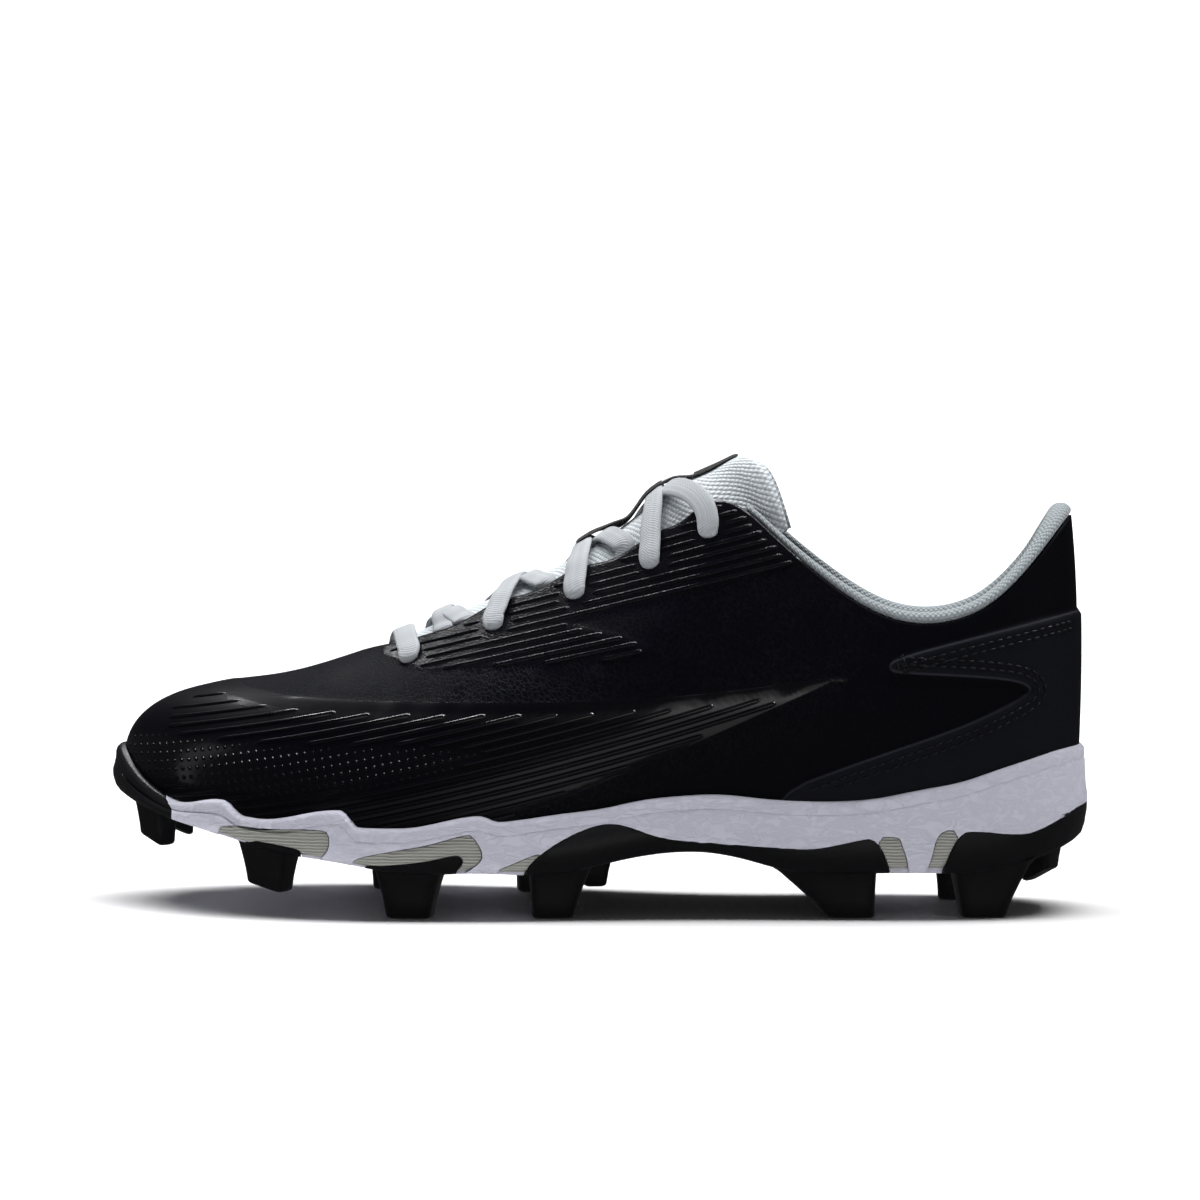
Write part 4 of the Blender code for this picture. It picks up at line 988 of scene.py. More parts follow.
# Arch of the tongue over the throat: station and height
CROWN_LINE = (
    (8.7, 13.5), (9.0, 12.4), (9.5, 10.2), (10.0, 7.6), (11.0, 5.4), (12.0, 5.0), (13.0, 4.6),
    (14.0, 2.6), (15.0, 0.2), (17.0, 0.0),
)
TONGUE_HIDDEN = (16.5, 16.0, 15.5, 15.0)
TONGUE_LOW = 0.78
# Tongue in the throat: station, and share v at which it starts under the eyestay
TONGUE_SHOWN = (
    (14.5, 0.76), (14.0, 0.76), (13.0, 0.76), (12.0, 0.76), (11.0, 0.76), (10.0, 0.81),
    (9.4, 0.85), (8.9, 0.875),
)
TONGUE_PARTS = (2, 6)
# Free top of the tongue: middle x and height, side x, half width and height, squareness of the row
TONGUE_TOP = (
    (29.5, 121.6, 40.5, 15.0, 106.5, 2.0),
    (36.0, 124.8, 48.5, 14.8, 105.0, 3.5),
    (40.0, 126.4, 54.5, 14.4, 103.0, 5.0),
)
TONGUE_FINE = (110, 60)
TONGUE_ROUND = 0.93
TONGUE_CORNER = 0.035
# Share of a pad's length and width over which its ends and sides are rounded
PLUMP_ENDS = (-0.004, 0.02)
PLUMP_SIDES = (-0.006, 0.05)
crown_line = line_curve(CROWN_LINE)


def arched(left, right, crown, share):
    """Point on the arch between two throat edges, share 0 at the outer and 1 at the inner."""
    point = left + (right - left) * share
    return point + UP * crown * (1 - (2 * share - 1) ** 2)


def tongue_rows():
    """Rows of points across the tongue, from under the vamp to its free top edge."""
    rows = []
    inset = WALL + TONGUE_CLEAR
    side, middle = TONGUE_PARTS
    width = 2 * side + middle + 1
    for q in TONGUE_HIDDEN:
        shares = [TONGUE_LOW + (1 - TONGUE_LOW) * k / (width // 2) for k in range(width // 2 + 1)]
        row = [off_last(q, v, -inset) for v in shares]
        rows.append(row + [off_last(-q, v, -inset) for v in shares[-2::-1]])
    for q, low in TONGUE_SHOWN:
        left, right = off_last(q, 1.0, -inset), off_last(-q, 1.0, -inset)
        shares = [low + (1 - low) * k / side for k in range(side)]
        row = [off_last(q, v, -inset) for v in shares]
        row += [arched(left, right, crown_line(q), k / middle) for k in range(middle + 1)]
        rows.append(row + [off_last(-q, v, -inset) for v in shares[::-1]])
    for centre_x, centre_z, side_x, side_y, side_z, square in TONGUE_TOP:
        w = np.linspace(-1, 1, width)
        x = centre_x + (side_x - centre_x) * w * w
        z = centre_z + (side_z - centre_z) * np.abs(w) ** square
        rows.append(list(np.stack((x, side_y * w, z), 1)))
    return np.array(rows)


def refined(grid, *counts):
    """Grid of points drawn finer with smooth curves, first down its rows and then across."""
    for count in counts:
        fine = np.linspace(0, len(grid) - 1, count)
        lines = [curve(range(len(grid)), line)(fine) for line in grid.reshape(len(grid), -1).T]
        grid = np.stack(lines, 1).reshape(count, *grid.shape[1:]).swapaxes(0, 1)
    return grid


def padded_sheet(grid, thick):
    """Closed pad from a grid of points: the grid outside, a copy inside, rounded at the border."""
    rows, columns, _ = grid.shape
    normal = unit(np.cross(np.gradient(grid, axis=0), np.gradient(grid, axis=1)))
    if normal[rows // 2, columns // 2, 2] < 0:
        normal = -normal
    edge_r = np.minimum(np.arange(rows), np.arange(rows)[::-1])[:, None] / rows
    edge_c = np.minimum(np.arange(columns), np.arange(columns)[::-1])[None, :] / columns
    plump = np.minimum(ease(*PLUMP_ENDS, edge_r), ease(*PLUMP_SIDES, edge_c))[..., None]
    outer = grid - normal * thick * (0.5 - 0.5 * plump)
    inner = grid - normal * thick * (0.5 + 0.5 * plump)
    points = np.concatenate((outer.reshape(-1, 3), inner.reshape(-1, 3)))
    count = rows * columns
    faces = grid_faces(rows, columns)
    faces += [[a + count for a in face[::-1]] for face in faces]
    index = np.arange(count).reshape(rows, columns)
    rim = np.concatenate((index[0], index[1:, -1], index[-1, -2::-1], index[-2:0:-1, 0])).tolist()
    faces += [[a, b, b + count, a + count] for a, b in zip(rim, rim[1:] + rim[:1])]
    return points, faces


tongue_grid = refined(tongue_rows(), *TONGUE_FINE)
across = np.linspace(-1, 1, TONGUE_FINE[1])
for i, row in enumerate(tongue_grid):
    narrow = 1 - TONGUE_CORNER * ease(TONGUE_ROUND, 1.0, i / (TONGUE_FINE[0] - 1)) ** 2
    tongue_grid[i] = np.stack([np.interp(across * narrow, across, row[:, k]) for k in range(3)], 1)
tongue_points, tongue_faces = padded_sheet(tongue_grid, TONGUE_THICK)
# Tongue mesh: the same cloth in a lighter shade, soft where the tongue stands free
tongue_mesh = mesh_cloth("tongue_spacer_mesh", "d6dce0", "a8b1b7")
tongue = make_piece("tongue_pad", tongue_points, tongue_faces, tongue_mesh, crease=60)
middle = TONGUE_FINE[1] // 2
# The rows of cells are counted from the middle of the shoe
first_row = np.linalg.norm(tongue_grid[0, middle])
tongue_along = np.repeat(first_row + walked(tongue_grid[:, middle]), TONGUE_FINE[1])
tongue_across = np.stack([walked(row) for row in tongue_grid])
tongue_across -= tongue_across[:, [middle]]
cloth_uvs(tongue, np.tile(tongue_along, 2), np.tile(tongue_across.ravel(), 2))
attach(tongue, "root")
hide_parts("tongue")


# Insole: a footbed of foam 4 mm thick, die-cut, rounded at its edge and covered with dark cloth.
# It is laid in loose on the sole, inside the upper.
INSOLE_THICK = 4.0
INSOLE_CLEAR = 0.6
INSOLE_STATIONS = 240
# Rings from the foot of the edge to the top: way in from the edge and share of the thickness
INSOLE_EDGE = ((0.0, 0.0), (0.0, 0.45), (0.5, 0.75), (1.5, 0.93), (3.0, 1.0))
# Insole cloth: dark grey and matt, so that the inside of the shoe stays quiet
insole_cloth, tree = new_material("insole_cloth", "2a2b30", 0.9, Sheen_Weight=0.2)
spot = node(tree, "TexCoord", (), "Object")
weave = node(tree, "TexNoise", {"Vector": spot, "Scale": 1 / (0.7 * MM), "Detail": 1.0}, "Fac")
node(tree, "Bump", {"Height": weave, "Distance": 0.3 * MM}, to=("Normal",))
node(tree, "Mix", {0: weave, 6: "202126", 7: "34363c"}, 2, ("Base Color",), data_type="RGBA")


def across_faces(start, size):
    """Strips that close a ring round the shoe from the outer to the inner side."""
    toe = size // 2
    faces = [[start, start + 1, start + size - 1], [start + toe - 1, start + toe, start + toe + 1]]
    for i in range(1, toe - 1):
        faces.append([start + i, start + i + 1, start + size - i - 1, start + size - i])
    return faces


def stacked_solid(name, rings, mat):
    """Closed solid from rings round the shoe, closed across at both ends."""
    size = len(rings[0])
    faces = ring_faces(len(rings), size)
    faces += across_faces(0, size) + across_faces((len(rings) - 1) * size, size)
    return make_piece(name, np.concatenate(rings), faces, mat)


ring_q = wrap(np.linspace(0, 2 * TOE, INSOLE_STATIONS, endpoint=False))
insole_rings = []
for inset, up in INSOLE_EDGE:
    ring = feather(ring_q) - outward(ring_q) * (WALL + INSOLE_CLEAR + inset)
    insole_rings.append(ring + UP * INSOLE_THICK * up)
insole = stacked_solid("insole_bed", insole_rings, insole_cloth)
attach(insole, "root")
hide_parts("insole")


# Lace: one flat woven polyester lace 6.4 mm wide. A straight bar joins the first holes; each end
# then crosses, dips under the other edge and comes up through the next hole, row by row, until it
# goes down into the top hole, where it ends.
LACE_WIDE = 6.4
LACE_THICK = 1.7
LACE_LIFT = 0.6
LACE_SINK = 1.9
LACE_LEAVE = (0.34, 0.50)
LACE_UNDER = (0.60, 0.75)
LACE_EDGE = 0.84
LACE_DIP = 2.8
LACE_REACH = 1.75
LACE_FINE = 9
LACE_SIDES = 20
LACE_FLAT, LACE_ROUND = 0.55, 0.9
LACE_BUNCH = 0.35
LACE_LEAST = 0.4
LACE_CROWN = 0.4
LACE_THREAD = 0.8
# Height over or under the other half at a crossing, and how wide the crossing is
LACE_WEAVE = {-1: 0.7, 1: -0.6}
LACE_CROSS = 0.34
LACE_DIP_FROM = 0.25
# The top strand runs free between these places, counted across from the middle
LACE_FREE = (0.4, 1.5)
BAR_STEPS, STRAND_STEPS = 8, 11
# Down through a hole: lift off the upper, way up the wall, share of the width, share turned down
LACE_HOLE = (
    (1.2, 0.9, 0.98, 0.25), (0.6, -0.5, 0.86, 0.6), (-0.7, -0.8, 0.7, 1.0), (-3.0, -0.4, 0.62, 1.0),
)
# Under the throat's edge: way below it, gap to the wall, share v of the facing, share of the width
LACE_BELOW = ((0.0, 0.9, 1.0, 0.95), (4.5, 1.3, 0.97, 0.85))
# Woven polyester: light grey with a slight sheen and a fine herringbone, drawn a little coarse
lace_cloth, tree = new_material(
    "woven_polyester_lace", "acb0b4", 0.8, Sheen_Weight=0.2, Sheen_Roughness=0.4
)
cloth_uv = node(tree, "UVMap", uv_map="cloth")
cloth_way = {axis: node(tree, "SeparateXYZ", (cloth_uv,), axis) for axis in "XY"}
from_middle = node(tree, "Math.ABSOLUTE", (cloth_way["Y"],))
herring = node(tree, "Math.ADD", (cloth_way["X"], from_middle))
woven = 0.5
for thread_way, share in ((cloth_way["Y"], 0.14), (herring, 0.3)):
    turn = node(tree, "Math.MULTIPLY", (thread_way, 2 * math.pi / LACE_THREAD))
    wave = node(tree, "Math.SINE", (turn,))
    woven = node(tree, "Math.MULTIPLY_ADD", (wave, share, woven))
node(tree, "Bump", {"Height": woven, "Distance": 0.12 * MM}, to=("Normal",))
node(tree, "Mix", {0: woven, 6: "9ea2a7", 7: "b4b8bc"}, 2, ("Base Color",), data_type="RGBA")


def lace_over(q, across):
    """Middle of the lace over the throat; across runs -1 to 1 between the edges, on to the holes."""
    side = -1 if across < 0 else 1
    lift = LACE_LIFT + LACE_THICK / 2
    if abs(across) > 1:
        return off_last(-side * q, below_edge(-side * q, (abs(across) - 1) * EYELET_IN), lift)
    left, right = off_last(q, 1.0, lift), off_last(-q, 1.0, lift)
    return arched(left, right, max(crown_line(q) - LACE_SINK, LACE_CROWN), (across + 1) / 2)


def lace_face(q, across):
    """Direction away from the foot at a place of the lace."""
    side = -1 if across < 0 else 1
    if abs(across) > 0.9:
        return last_normal(-side * q, below_edge(-side * q, max(abs(across) - 1, 0) * EYELET_IN))
    along = lace_over(q - 0.1, across) - lace_over(q + 0.1, across)
    face = unit(np.cross(along, lace_over(q, across + 0.05) - lace_over(q, across - 0.05)))
    return face if face[2] > 0 else -face


def hole_points(row, side, flip):
    """Lace going down through a hole: place, facing and width share."""
    q = -side * row
    v = below_edge(q, EYELET_IN)
    face = last_normal(q, v)
    inward = unit(last(q, min(v + 0.05, 1.0)) - last(q, v))
    rows = []
    for lift, back, width, turned in LACE_HOLE:
        facing = face * (1 - turned) - inward * turned
        rows.append((last(q, v) + face * lift + inward * back, facing * flip, width))
    return rows


def under_points(row, side, flip):
    """Lace going under the throat edge: place, facing and width share."""
    q = -side * row
    rows = []
    for below, gap, share, width in LACE_BELOW:
        place = off_last(q, below_edge(q, below), -WALL - gap)
        rows.append((place, last_normal(q, share) * flip, width))
    return rows


def lace_half(side):
    """One half of the lace from the middle of the bar to its top hole: places, facings, widths."""
    rows = {-1: EYELET_ROWS, 1: INNER_ROWS}
    middle = (rows[-1][0] + rows[1][0]) / 2
    steps = []
    for t in np.linspace(0.0, 1.0, BAR_STEPS):
        here, across = middle + (rows[side][0] - middle) * t, side * LACE_REACH * t
        steps.append((lace_over(here, across), lace_face(here, across), 1.0))
    steps += hole_points(rows[side][0], side, 1)
    flip = -1
    top = len(EYELET_ROWS) - 2
    for n in range(top + 1):
        near, far = rows[side], rows[-side]
        start, leave = near[n], LACE_REACH
        end, enter = far[n] + (far[n + 1] - far[n]) * LACE_UNDER[side < 0], LACE_EDGE
        if n == 0:
            start, leave = near[0] + (near[1] - near[0]) * LACE_LEAVE[side > 0], LACE_EDGE
            steps += under_points(start, side, flip)[::-1]
        if n == top:
            end, enter = far[n + 1], LACE_REACH
        for t in np.linspace(0.0, 1.0, STRAND_STEPS):
            across = side * (leave - t * (leave + enter))
            here = start + (end - start) * t
            if n == top and LACE_FREE[0] < -side * across < LACE_FREE[1]:
                continue
            face = lace_face(here, across)
            dips = -side * across if n < top else 0.0
            if n == 0:
                dips = abs(across)
            lift = LACE_WEAVE[side] * math.exp(-((across / LACE_CROSS) ** 2))
            lift -= LACE_DIP * float(ease(LACE_DIP_FROM, LACE_EDGE, dips))
            steps.append((lace_over(here, across) + face * lift, face * flip, 1.0))
        side = -side
        if n == top:
            steps += hole_points(far[n + 1], side, flip)
        else:
            steps += under_points(end, side, flip)
            flip = -flip
            steps += hole_points(far[n + 1], side, flip)[::-1]
    return steps


def squared(values, power):
    """Values from -1 to 1 pushed outwards, which turns a circle into a rounded square."""
    return np.sign(values) * np.abs(values) ** power


def ribbon(steps, fine):
    """Flat rounded lace through the given places, with its way along and across for the weave."""
    places, faces_to = (np.array([step[k] for step in steps]) for k in (0, 1))
    gaps = np.linalg.norm(np.diff(places, axis=0), axis=1)
    knots = np.concatenate(([0.0], np.cumsum(np.maximum(gaps, LACE_LEAST))))
    t = [np.linspace(a, b, fine, endpoint=False) for a, b in zip(knots, knots[1:])]
    t = np.concatenate(t + [knots[-1:]])
    spine = np.stack([curve(knots, places[:, k])(t) for k in range(3)], 1)
    face = np.stack([np.interp(t, knots, faces_to[:, k]) for k in range(3)], 1)
    width = np.interp(t, knots, [step[2] for step in steps])
    along = unit(np.gradient(spine, axis=0))
    face = unit(face - along * np.sum(face * along, 1)[:, None])
    angles = np.linspace(0, 2 * math.pi, LACE_SIDES, endpoint=False)
    spread = (LACE_WIDE / 2 * width)[:, None] * squared(np.cos(angles), LACE_FLAT)
    thick = LACE_THICK / 2 * (1 + LACE_BUNCH * (1 - width))
    rings = spine[:, None] + np.cross(face, along)[:, None] * spread[..., None]
    rings += face[:, None] * (thick[:, None] * squared(np.sin(angles), LACE_ROUND))[..., None]
    return rings, t, spread


rings, way, spread = ribbon(lace_half(-1)[::-1] + lace_half(1)[1:], LACE_FINE)
size = rings.shape[1]
lace = make_piece("lace", rings.reshape(-1, 3), tube_faces(len(rings), size), lace_cloth, crease=70)
cloth_uvs(lace, np.repeat(way, size), spread.ravel())
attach(lace, "root")
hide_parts("lace_bar", *["lace_crossing_%d" % n for n in range(1, len(EYELET_ROWS))])


# Tongue strip: a black woven band 7 mm wide, sewn to the top of the tongue and laid down its middle
# over the two upper lace crossings, with a plain white bar woven in near its top.
STRIP_WIDE = 7.0
STRIP_THICK = 0.9
STRIP_FROM, STRIP_TO = -7.0, 38.5
STRIP_SPREAD = 3.0
STRIP_BAR = (17.5, 26.5)
STRIP_BAR_ACROSS = (-2.9, -0.7)
STRIP_FINE = (92, 9)
STRIP_ABOVE = 0.1
RAY_HIGH = 160.0
STRIP_THREAD = 0.7
# Length of one band of a wave texture at scale 1
WAVE_UNIT = 0.314
# Close woven polyester: dull black with a fine cross rib, so that it reads as one dark line
strip_cloth, tree = new_material("woven_polyester_band", "0c0c10", 0.75, Sheen_Weight=0.1)
spot = node(tree, "TexCoord", (), "Object")
bar = 1.0
for axis, shift, ends in (("X", SHIFT[0], STRIP_BAR), ("Y", SHIFT[1], STRIP_BAR_ACROSS)):
    place = node(tree, "SeparateXYZ", (spot,), axis)
    for test, end in zip(("GREATER_THAN", "LESS_THAN"), ends):
        within = node(tree, "Math." + test, (place, (end + shift) * MM))
        bar = node(tree, "Math.MULTIPLY", (bar, within))
wave_scale = WAVE_UNIT / (STRIP_THREAD * MM)
weave = node(tree, "TexWave", {"Vector": spot, "Scale": wave_scale, "Distortion": 0.6}, "Fac")
dark = node(tree, "Mix", {0: weave, 6: "09090d", 7: "17171c"}, 2, data_type="RGBA")
node(tree, "Mix", {0: bar, 6: dark, 7: "d4d6d9"}, 2, ("Base Color",), data_type="RGBA")
node(tree, "Bump", {"Height": weave, "Distance": 0.15 * MM}, to=("Normal",))

below_tree = ray_tree(tongue, lace)
strip_x = np.linspace(STRIP_FROM, STRIP_TO, STRIP_FINE[0])
strip_y = np.linspace(-STRIP_WIDE / 2, STRIP_WIDE / 2, STRIP_FINE[1])
strip_z = np.empty(STRIP_FINE)
for i, x in enumerate(strip_x):
    for j, y in enumerate(strip_y):
        hit, _, _, _ = below_tree.ray_cast(Vector(placed((x, y, RAY_HIGH))), Vector(-UP))
        strip_z[i, j] = in_shoe(hit)[2]
near = np.abs(strip_x[:, None] - strip_x[None, :])
fall = np.polynomial.polynomial.polyfit(strip_x, strip_z.mean(1), 2)
bend = np.polynomial.polynomial.polyval(strip_x, fall)[:, None]
off_bend = [np.where(near < STRIP_SPREAD, line, -np.inf).max(1) for line in (strip_z - bend).T]
soft = np.exp(-((near / STRIP_SPREAD) ** 2))
held = soft @ np.stack(off_bend, 1) / soft.sum(1)[:, None] + bend
strip_z = np.maximum(held, strip_z) + STRIP_THICK + STRIP_ABOVE
strip_grid = np.stack((*np.meshgrid(strip_x, strip_y, indexing="ij"), strip_z), -1)
strip_points, strip_faces = padded_sheet(strip_grid, STRIP_THICK)
strip = make_piece("tongue_strip", strip_points, strip_faces, strip_cloth, crease=60)
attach(strip, "root")


# Midsole: one cup of white injected foam with a wrinkled leather pattern on its side, cemented to
# the upper. Its top edge steps up in three crests and pockets are left for the outsole pieces.
RIM_WIDTH = 1.7
RIM_BEVEL = 3.0
# Top edge of the midsole: x and height; on it, crests: x of the peak, height, ramp and drop
RIM_LINE = (
    (132, 46.2), (127, 45.7), (120, 43.8), (111, 41.0), (100, 37.4), (90, 35.5), (79, 33.3),
    (62, 32.3), (47, 32.9), (36, 34.0), (25, 33.7), (14, 32.5), (4, 30.4), (-7, 29.0),
    (-20, 27.2), (-32, 26.2), (-46, 25.3), (-60, 25.2), (-75, 25.9), (-90, 27.0),
    (-105, 28.9), (-115, 30.4), (-122, 33.2), (-130, 38.3), (-136.4, 44.4),
)
CRESTS = ((-99.5, 3.3, 16.0, 6.0), (-66.0, 4.4, 24.0, 5.0), (-29.5, 2.2, 20.0, 6.5))
# Underside of the sole: x and height
BASE_LINE = (
    (132, 20.5), (122, 16.4), (110, 13.4), (88, 12.6), (66, 12.4), (54, 13.2), (44, 15.8),
    (32, 18.1), (20, 17.9), (8, 15.9), (-8, 12.6), (-30, 12.8), (-48, 12.6), (-66, 15.4),
    (-80, 17.2), (-95, 20.4), (-108, 23.4), (-122, 26.6), (-136.4, 31.0),
)
BEVEL_OUT = 3.3
GROOVE = 0.15
WALL_OUT = 4.2
FOOT_OUT = 3.4
BASE_IN = 0.4
SIDE_WALL = 3.0
PLATE = 3.0
PART_LINE = 0.25
SOLE_STATIONS = 400
rim_line = line_curve(RIM_LINE)
base_line = line_curve(BASE_LINE)


def rim_height(x):
    """Top edge of the midsole with its crests."""
    z = rim_line(x)
    for peak, height, ramp, drop in CRESTS:
        share = 1 - np.where(x < peak, (peak - x) / ramp, (x - peak) / drop)
        z = z + height * ease(0, 1, share)
    return z


def height_on_last(q, z):
    """Share v at which the upper reaches a height."""
    low, high = np.zeros_like(q), np.ones_like(q)
    for _ in range(24):
        middle = (low + high) / 2
        below = last(q, middle)[:, 2] < z
        low, high = np.where(below, middle, low), np.where(below, high, middle)
    return low


def at_height(points, z):
    """Points with their height replaced."""
    return np.stack((points[:, 0], points[:, 1], np.broadcast_to(z, len(points))), 1)


sole_q = wrap(np.linspace(0, 2 * TOE, SOLE_STATIONS, endpoint=False))
sole_low = feather(sole_q)
sole_out = outward(sole_q)
sole_rim = rim_height(sole_low[:, 0])
sole_base = base_line(sole_low[:, 0])
sole_tall = sole_rim - sole_base
sole_v = height_on_last(sole_q, sole_rim)
lip = off_last(sole_q, sole_v, np.full_like(sole_q, GAP + RIM_WIDTH))
lip_out = np.sum((lip - sole_low) * sole_out, 1)
bevel_out = np.full_like(lip_out, BEVEL_OUT)
groove = GROOVE * ease(-117, -109, sole_low[:, 0])


def wall_rows(recess):
    """Side of the sole from the rim down: reach out from the feather edge and height."""
    return [
        (lip_out - 0.6, sole_rim - 0.05),
        (lip_out, sole_rim - 0.35),
        (lip_out + 0.45 * (bevel_out - lip_out) + 0.3, sole_rim - 1.2),
        (np.maximum(bevel_out, lip_out + 0.1) - 0.05, sole_rim - 2.2),
        (np.maximum(bevel_out, lip_out + 0.1) - recess, sole_rim - RIM_BEVEL),
        (bevel_out - groove - recess, sole_rim - RIM_BEVEL - 0.7),
        (bevel_out + GROOVE - recess, sole_rim - RIM_BEVEL - 1.4),
        (0.55 * BEVEL_OUT + 0.45 * WALL_OUT - recess, sole_rim - 0.42 * sole_tall),
        (WALL_OUT - recess, sole_rim - 0.55 * sole_tall),
        (WALL_OUT - 0.15 - recess, sole_rim - 0.70 * sole_tall),
        (FOOT_OUT - recess, sole_base + 0.14 * sole_tall),
        (FOOT_OUT - 0.8 - recess, sole_base + 0.05 * sole_tall),
        (FOOT_OUT - 1.8 - recess, sole_base + 0.01 * sole_tall),
        (-BASE_IN - recess, sole_base),
    ]


def sole_ring(reach, z):
    """Ring round the sole at a reach out from the feather edge and at a height."""
    reach = np.broadcast_to(reach, len(sole_q))
    return at_height(sole_low + sole_out * reach[:, None], z)


def sole_rings():
    """Rings of the sole without studs, from the footbed edge over the rim to the underside."""
    rings = [at_height(sole_low + sole_out * GAP, sole_low[:, 2] - GAP)]
    for share in (0.5, 1.0):
        rings.append(off_last(sole_q, sole_v * share, np.full_like(sole_q, GAP)))
    return rings + [sole_ring(reach, z) for reach, z in wall_rows(0.0)]


def core_solid(name, outset, floor):
    """Heart of the midsole inside its side wall, from a height above the underside upwards."""
    ring = (sole_low + sole_out * outset)[::2]
    bottom = at_height(ring, base_line(ring[:, 0]) + floor)
    return stacked_solid(name, [bottom, at_height(ring, HEEL_HEIGHT)], None)


# Side outlines of the black pieces and, below, the slant of the flex lines across the sole
BLACK_PIECES = {
    "outsole_toe": (
        (-150, 60), (-119.5, 60), (-119.5, 32.1), (-115.7, 28), (-115.4, 26.6), (-116.4, 23),
        (-116.4, 0), (-150, 0),
    ),
    "outsole_front": ((-96, 0), (-95.4, 21.6), (-79, 19), (-76.8, 17.8), (-76, 0)),
    "outsole_ball": (
        (-63.2, 0), (-62.7, 14.9), (-51.8, 15), (-43.4, 15.6), (-36.1, 17.5), (-33.9, 17.7),
        (-32.9, 16.1), (-35.6, 12.4), (-35.6, 0),
    ),
    "outsole_arch": (
        (-17, 0), (-16.8, 12.6), (-12, 18), (-1.7, 23.5), (3.7, 25.7), (7.5, 26.3), (11, 25.9),
        (19.9, 22.6), (27, 21.4), (57.5, 18.8), (63.5, 19.2), (73.4, 21.5), (78.9, 22.4), (83.2, 12),
        (83.2, 0),
    ),
    "outsole_heel": (
        (96.2, 0), (96.2, 12), (101.3, 23.6), (106, 24.1), (116.6, 23), (122.4, 23.6), (133.4, 29.2),
        (145, 31), (145, 0),
    ),
}
INSERTS = {
    "insert_front": ("outsole_front", (
        (-100.8, 0), (-100.8, 23.4), (-97, 24.7), (-85.8, 23.8), (-70.8, 24.6), (-69.6, 23),
        (-69.6, 19.7), (-72.5, 16), (-72.5, 0),
    )),
    "insert_ball": ("outsole_ball", (
        (-63.8, 0), (-63.8, 15.2), (-61.5, 17.4), (-51.8, 19), (-43.4, 20.1), (-32, 23.7),
        (-30.2, 22.9), (-27.8, 19), (-28.4, 16.2), (-34.8, 12), (-34.8, 0),
    )),
    "insert_waist": ("outsole_arch", (
        (-24.9, 0), (-24.8, 13.4), (-19.8, 15.3), (-12.6, 18.3), (-11.6, 17), (-11.6, 0),
    )),
    "insert_heel_front": ("outsole_arch", (
        (78.4, 22.6), (84.4, 22.6), (85.3, 21.7), (88, 13), (88, 0), (81, 0),
    )),
    "insert_heel_rear": ("outsole_heel", (
        (95.6, 24.3), (102, 24.4), (99, 0), (91.7, 0), (91.9, 12.4), (93.8, 15.7),
    )),
}
SKEW_LINE = ((-140, 0.04), (-119, 0.04), (-97, 0.17), (-5, 0.17), (25, 0.08), (140, 0.07))
SKEW_SIDE = -47.0
FULL_NEAR = -70.0
FULL_FAR = 70.0
SPLIT = 6.0
DEEP_FLOOR = -21.0
SOLE_CREASE = 35


def prism(name, outline, near, far):
    """Cutter: a side outline carried across the shoe along the flex lines."""
    outline = np.asarray(outline, float)
    size = len(outline)
    points = []
    for y in (near, far):
        x = outline[:, 0]
        along = x - np.interp(x, *zip(*SKEW_LINE)) * (y - SKEW_SIDE)
        lift = np.where(np.abs(x) < HEEL_BACK, base_line(along) - base_line(x), 0.0)
        points.append(np.stack((along, np.full(size, y), outline[:, 1] + lift), 1))
    faces = [list(range(size)), list(range(size, 2 * size))]
    faces += [[i, (i + 1) % size, size + (i + 1) % size, size + i] for i in range(size)]
    return make_piece(name, np.concatenate(points), faces, None)


# Injected foam skin: soft white with a cool cast, matt, finely crinkled on the side, with the folds of
# the crinkle painted a little darker as painted shade
foam_skin, tree = new_material("injected_foam_skin", "c4c4d1", 0.55, Specular_IOR_Level=0.3)
spot = node(tree, "TexCoord", (), "Object")
flat_spot = node(tree, "Mapping", {"Vector": spot, "Scale": (0.55, 0.55, 1.25)})
fold = node(
    tree, "TexNoise",
    {"Vector": flat_spot, "Scale": 1 / (3.2 * MM), "Detail": 4.0, "Roughness": 0.62, "Distortion": 0.8},
    "Fac",
)
valley = node(tree, "Math.SUBTRACT", (fold, 0.5))
valley = node(tree, "Math.ABSOLUTE", (valley,))
crinkle_and_fold_shade = node(tree, "MapRange", {"Value": valley, "From Max": 0.1}, interpolation_type="SMOOTHSTEP")
node(tree, "Bump", {"Height": crinkle_and_fold_shade, "Distance": 0.1 * MM}, to=("Normal",))
# Painted shade: the folds of the crinkle are painted a little darker
node(tree, "Mix", {0: crinkle_and_fold_shade, 6: "bdbdcb", 7: "c5c5d2"}, 2, ("Base Color",), data_type="RGBA")

block = sole_rings()
heart = WALL_OUT - SIDE_WALL
core = core_solid("core", heart, PLATE)
core_inside = core_solid("core_inside", heart - PART_LINE, PLATE + PART_LINE)
deep_core = core_solid("deep_core", heart - 2 * PART_LINE, DEEP_FLOOR)
black_outline = {name: soften(outline, 2) for name, outline in BLACK_PIECES.items()}
midsole = stacked_solid("midsole_cup", block, foam_skin)
for name, outline in black_outline.items():
    pocket = prism(name + "_pocket", grow(outline, PART_LINE), FULL_NEAR, FULL_FAR)
    if name != "outsole_toe":
        cut(pocket, "DIFFERENCE", core_inside, keep=True)
    cut(midsole, "DIFFERENCE", pocket)
sides = {"lateral": (FULL_NEAR, -SPLIT), "medial": (SPLIT, FULL_FAR)}
for insert, (_, outline) in INSERTS.items():
    for near, far in sides.values():
        pocket = prism(insert + "_pocket", grow(soften(outline, 2), PART_LINE), near, far)
        cut(pocket, "DIFFERENCE", deep_core, keep=True)
        cut(midsole, "DIFFERENCE", pocket)
set_edges(midsole.data, SOLE_CREASE)
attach(midsole, "root")
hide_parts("midsole")


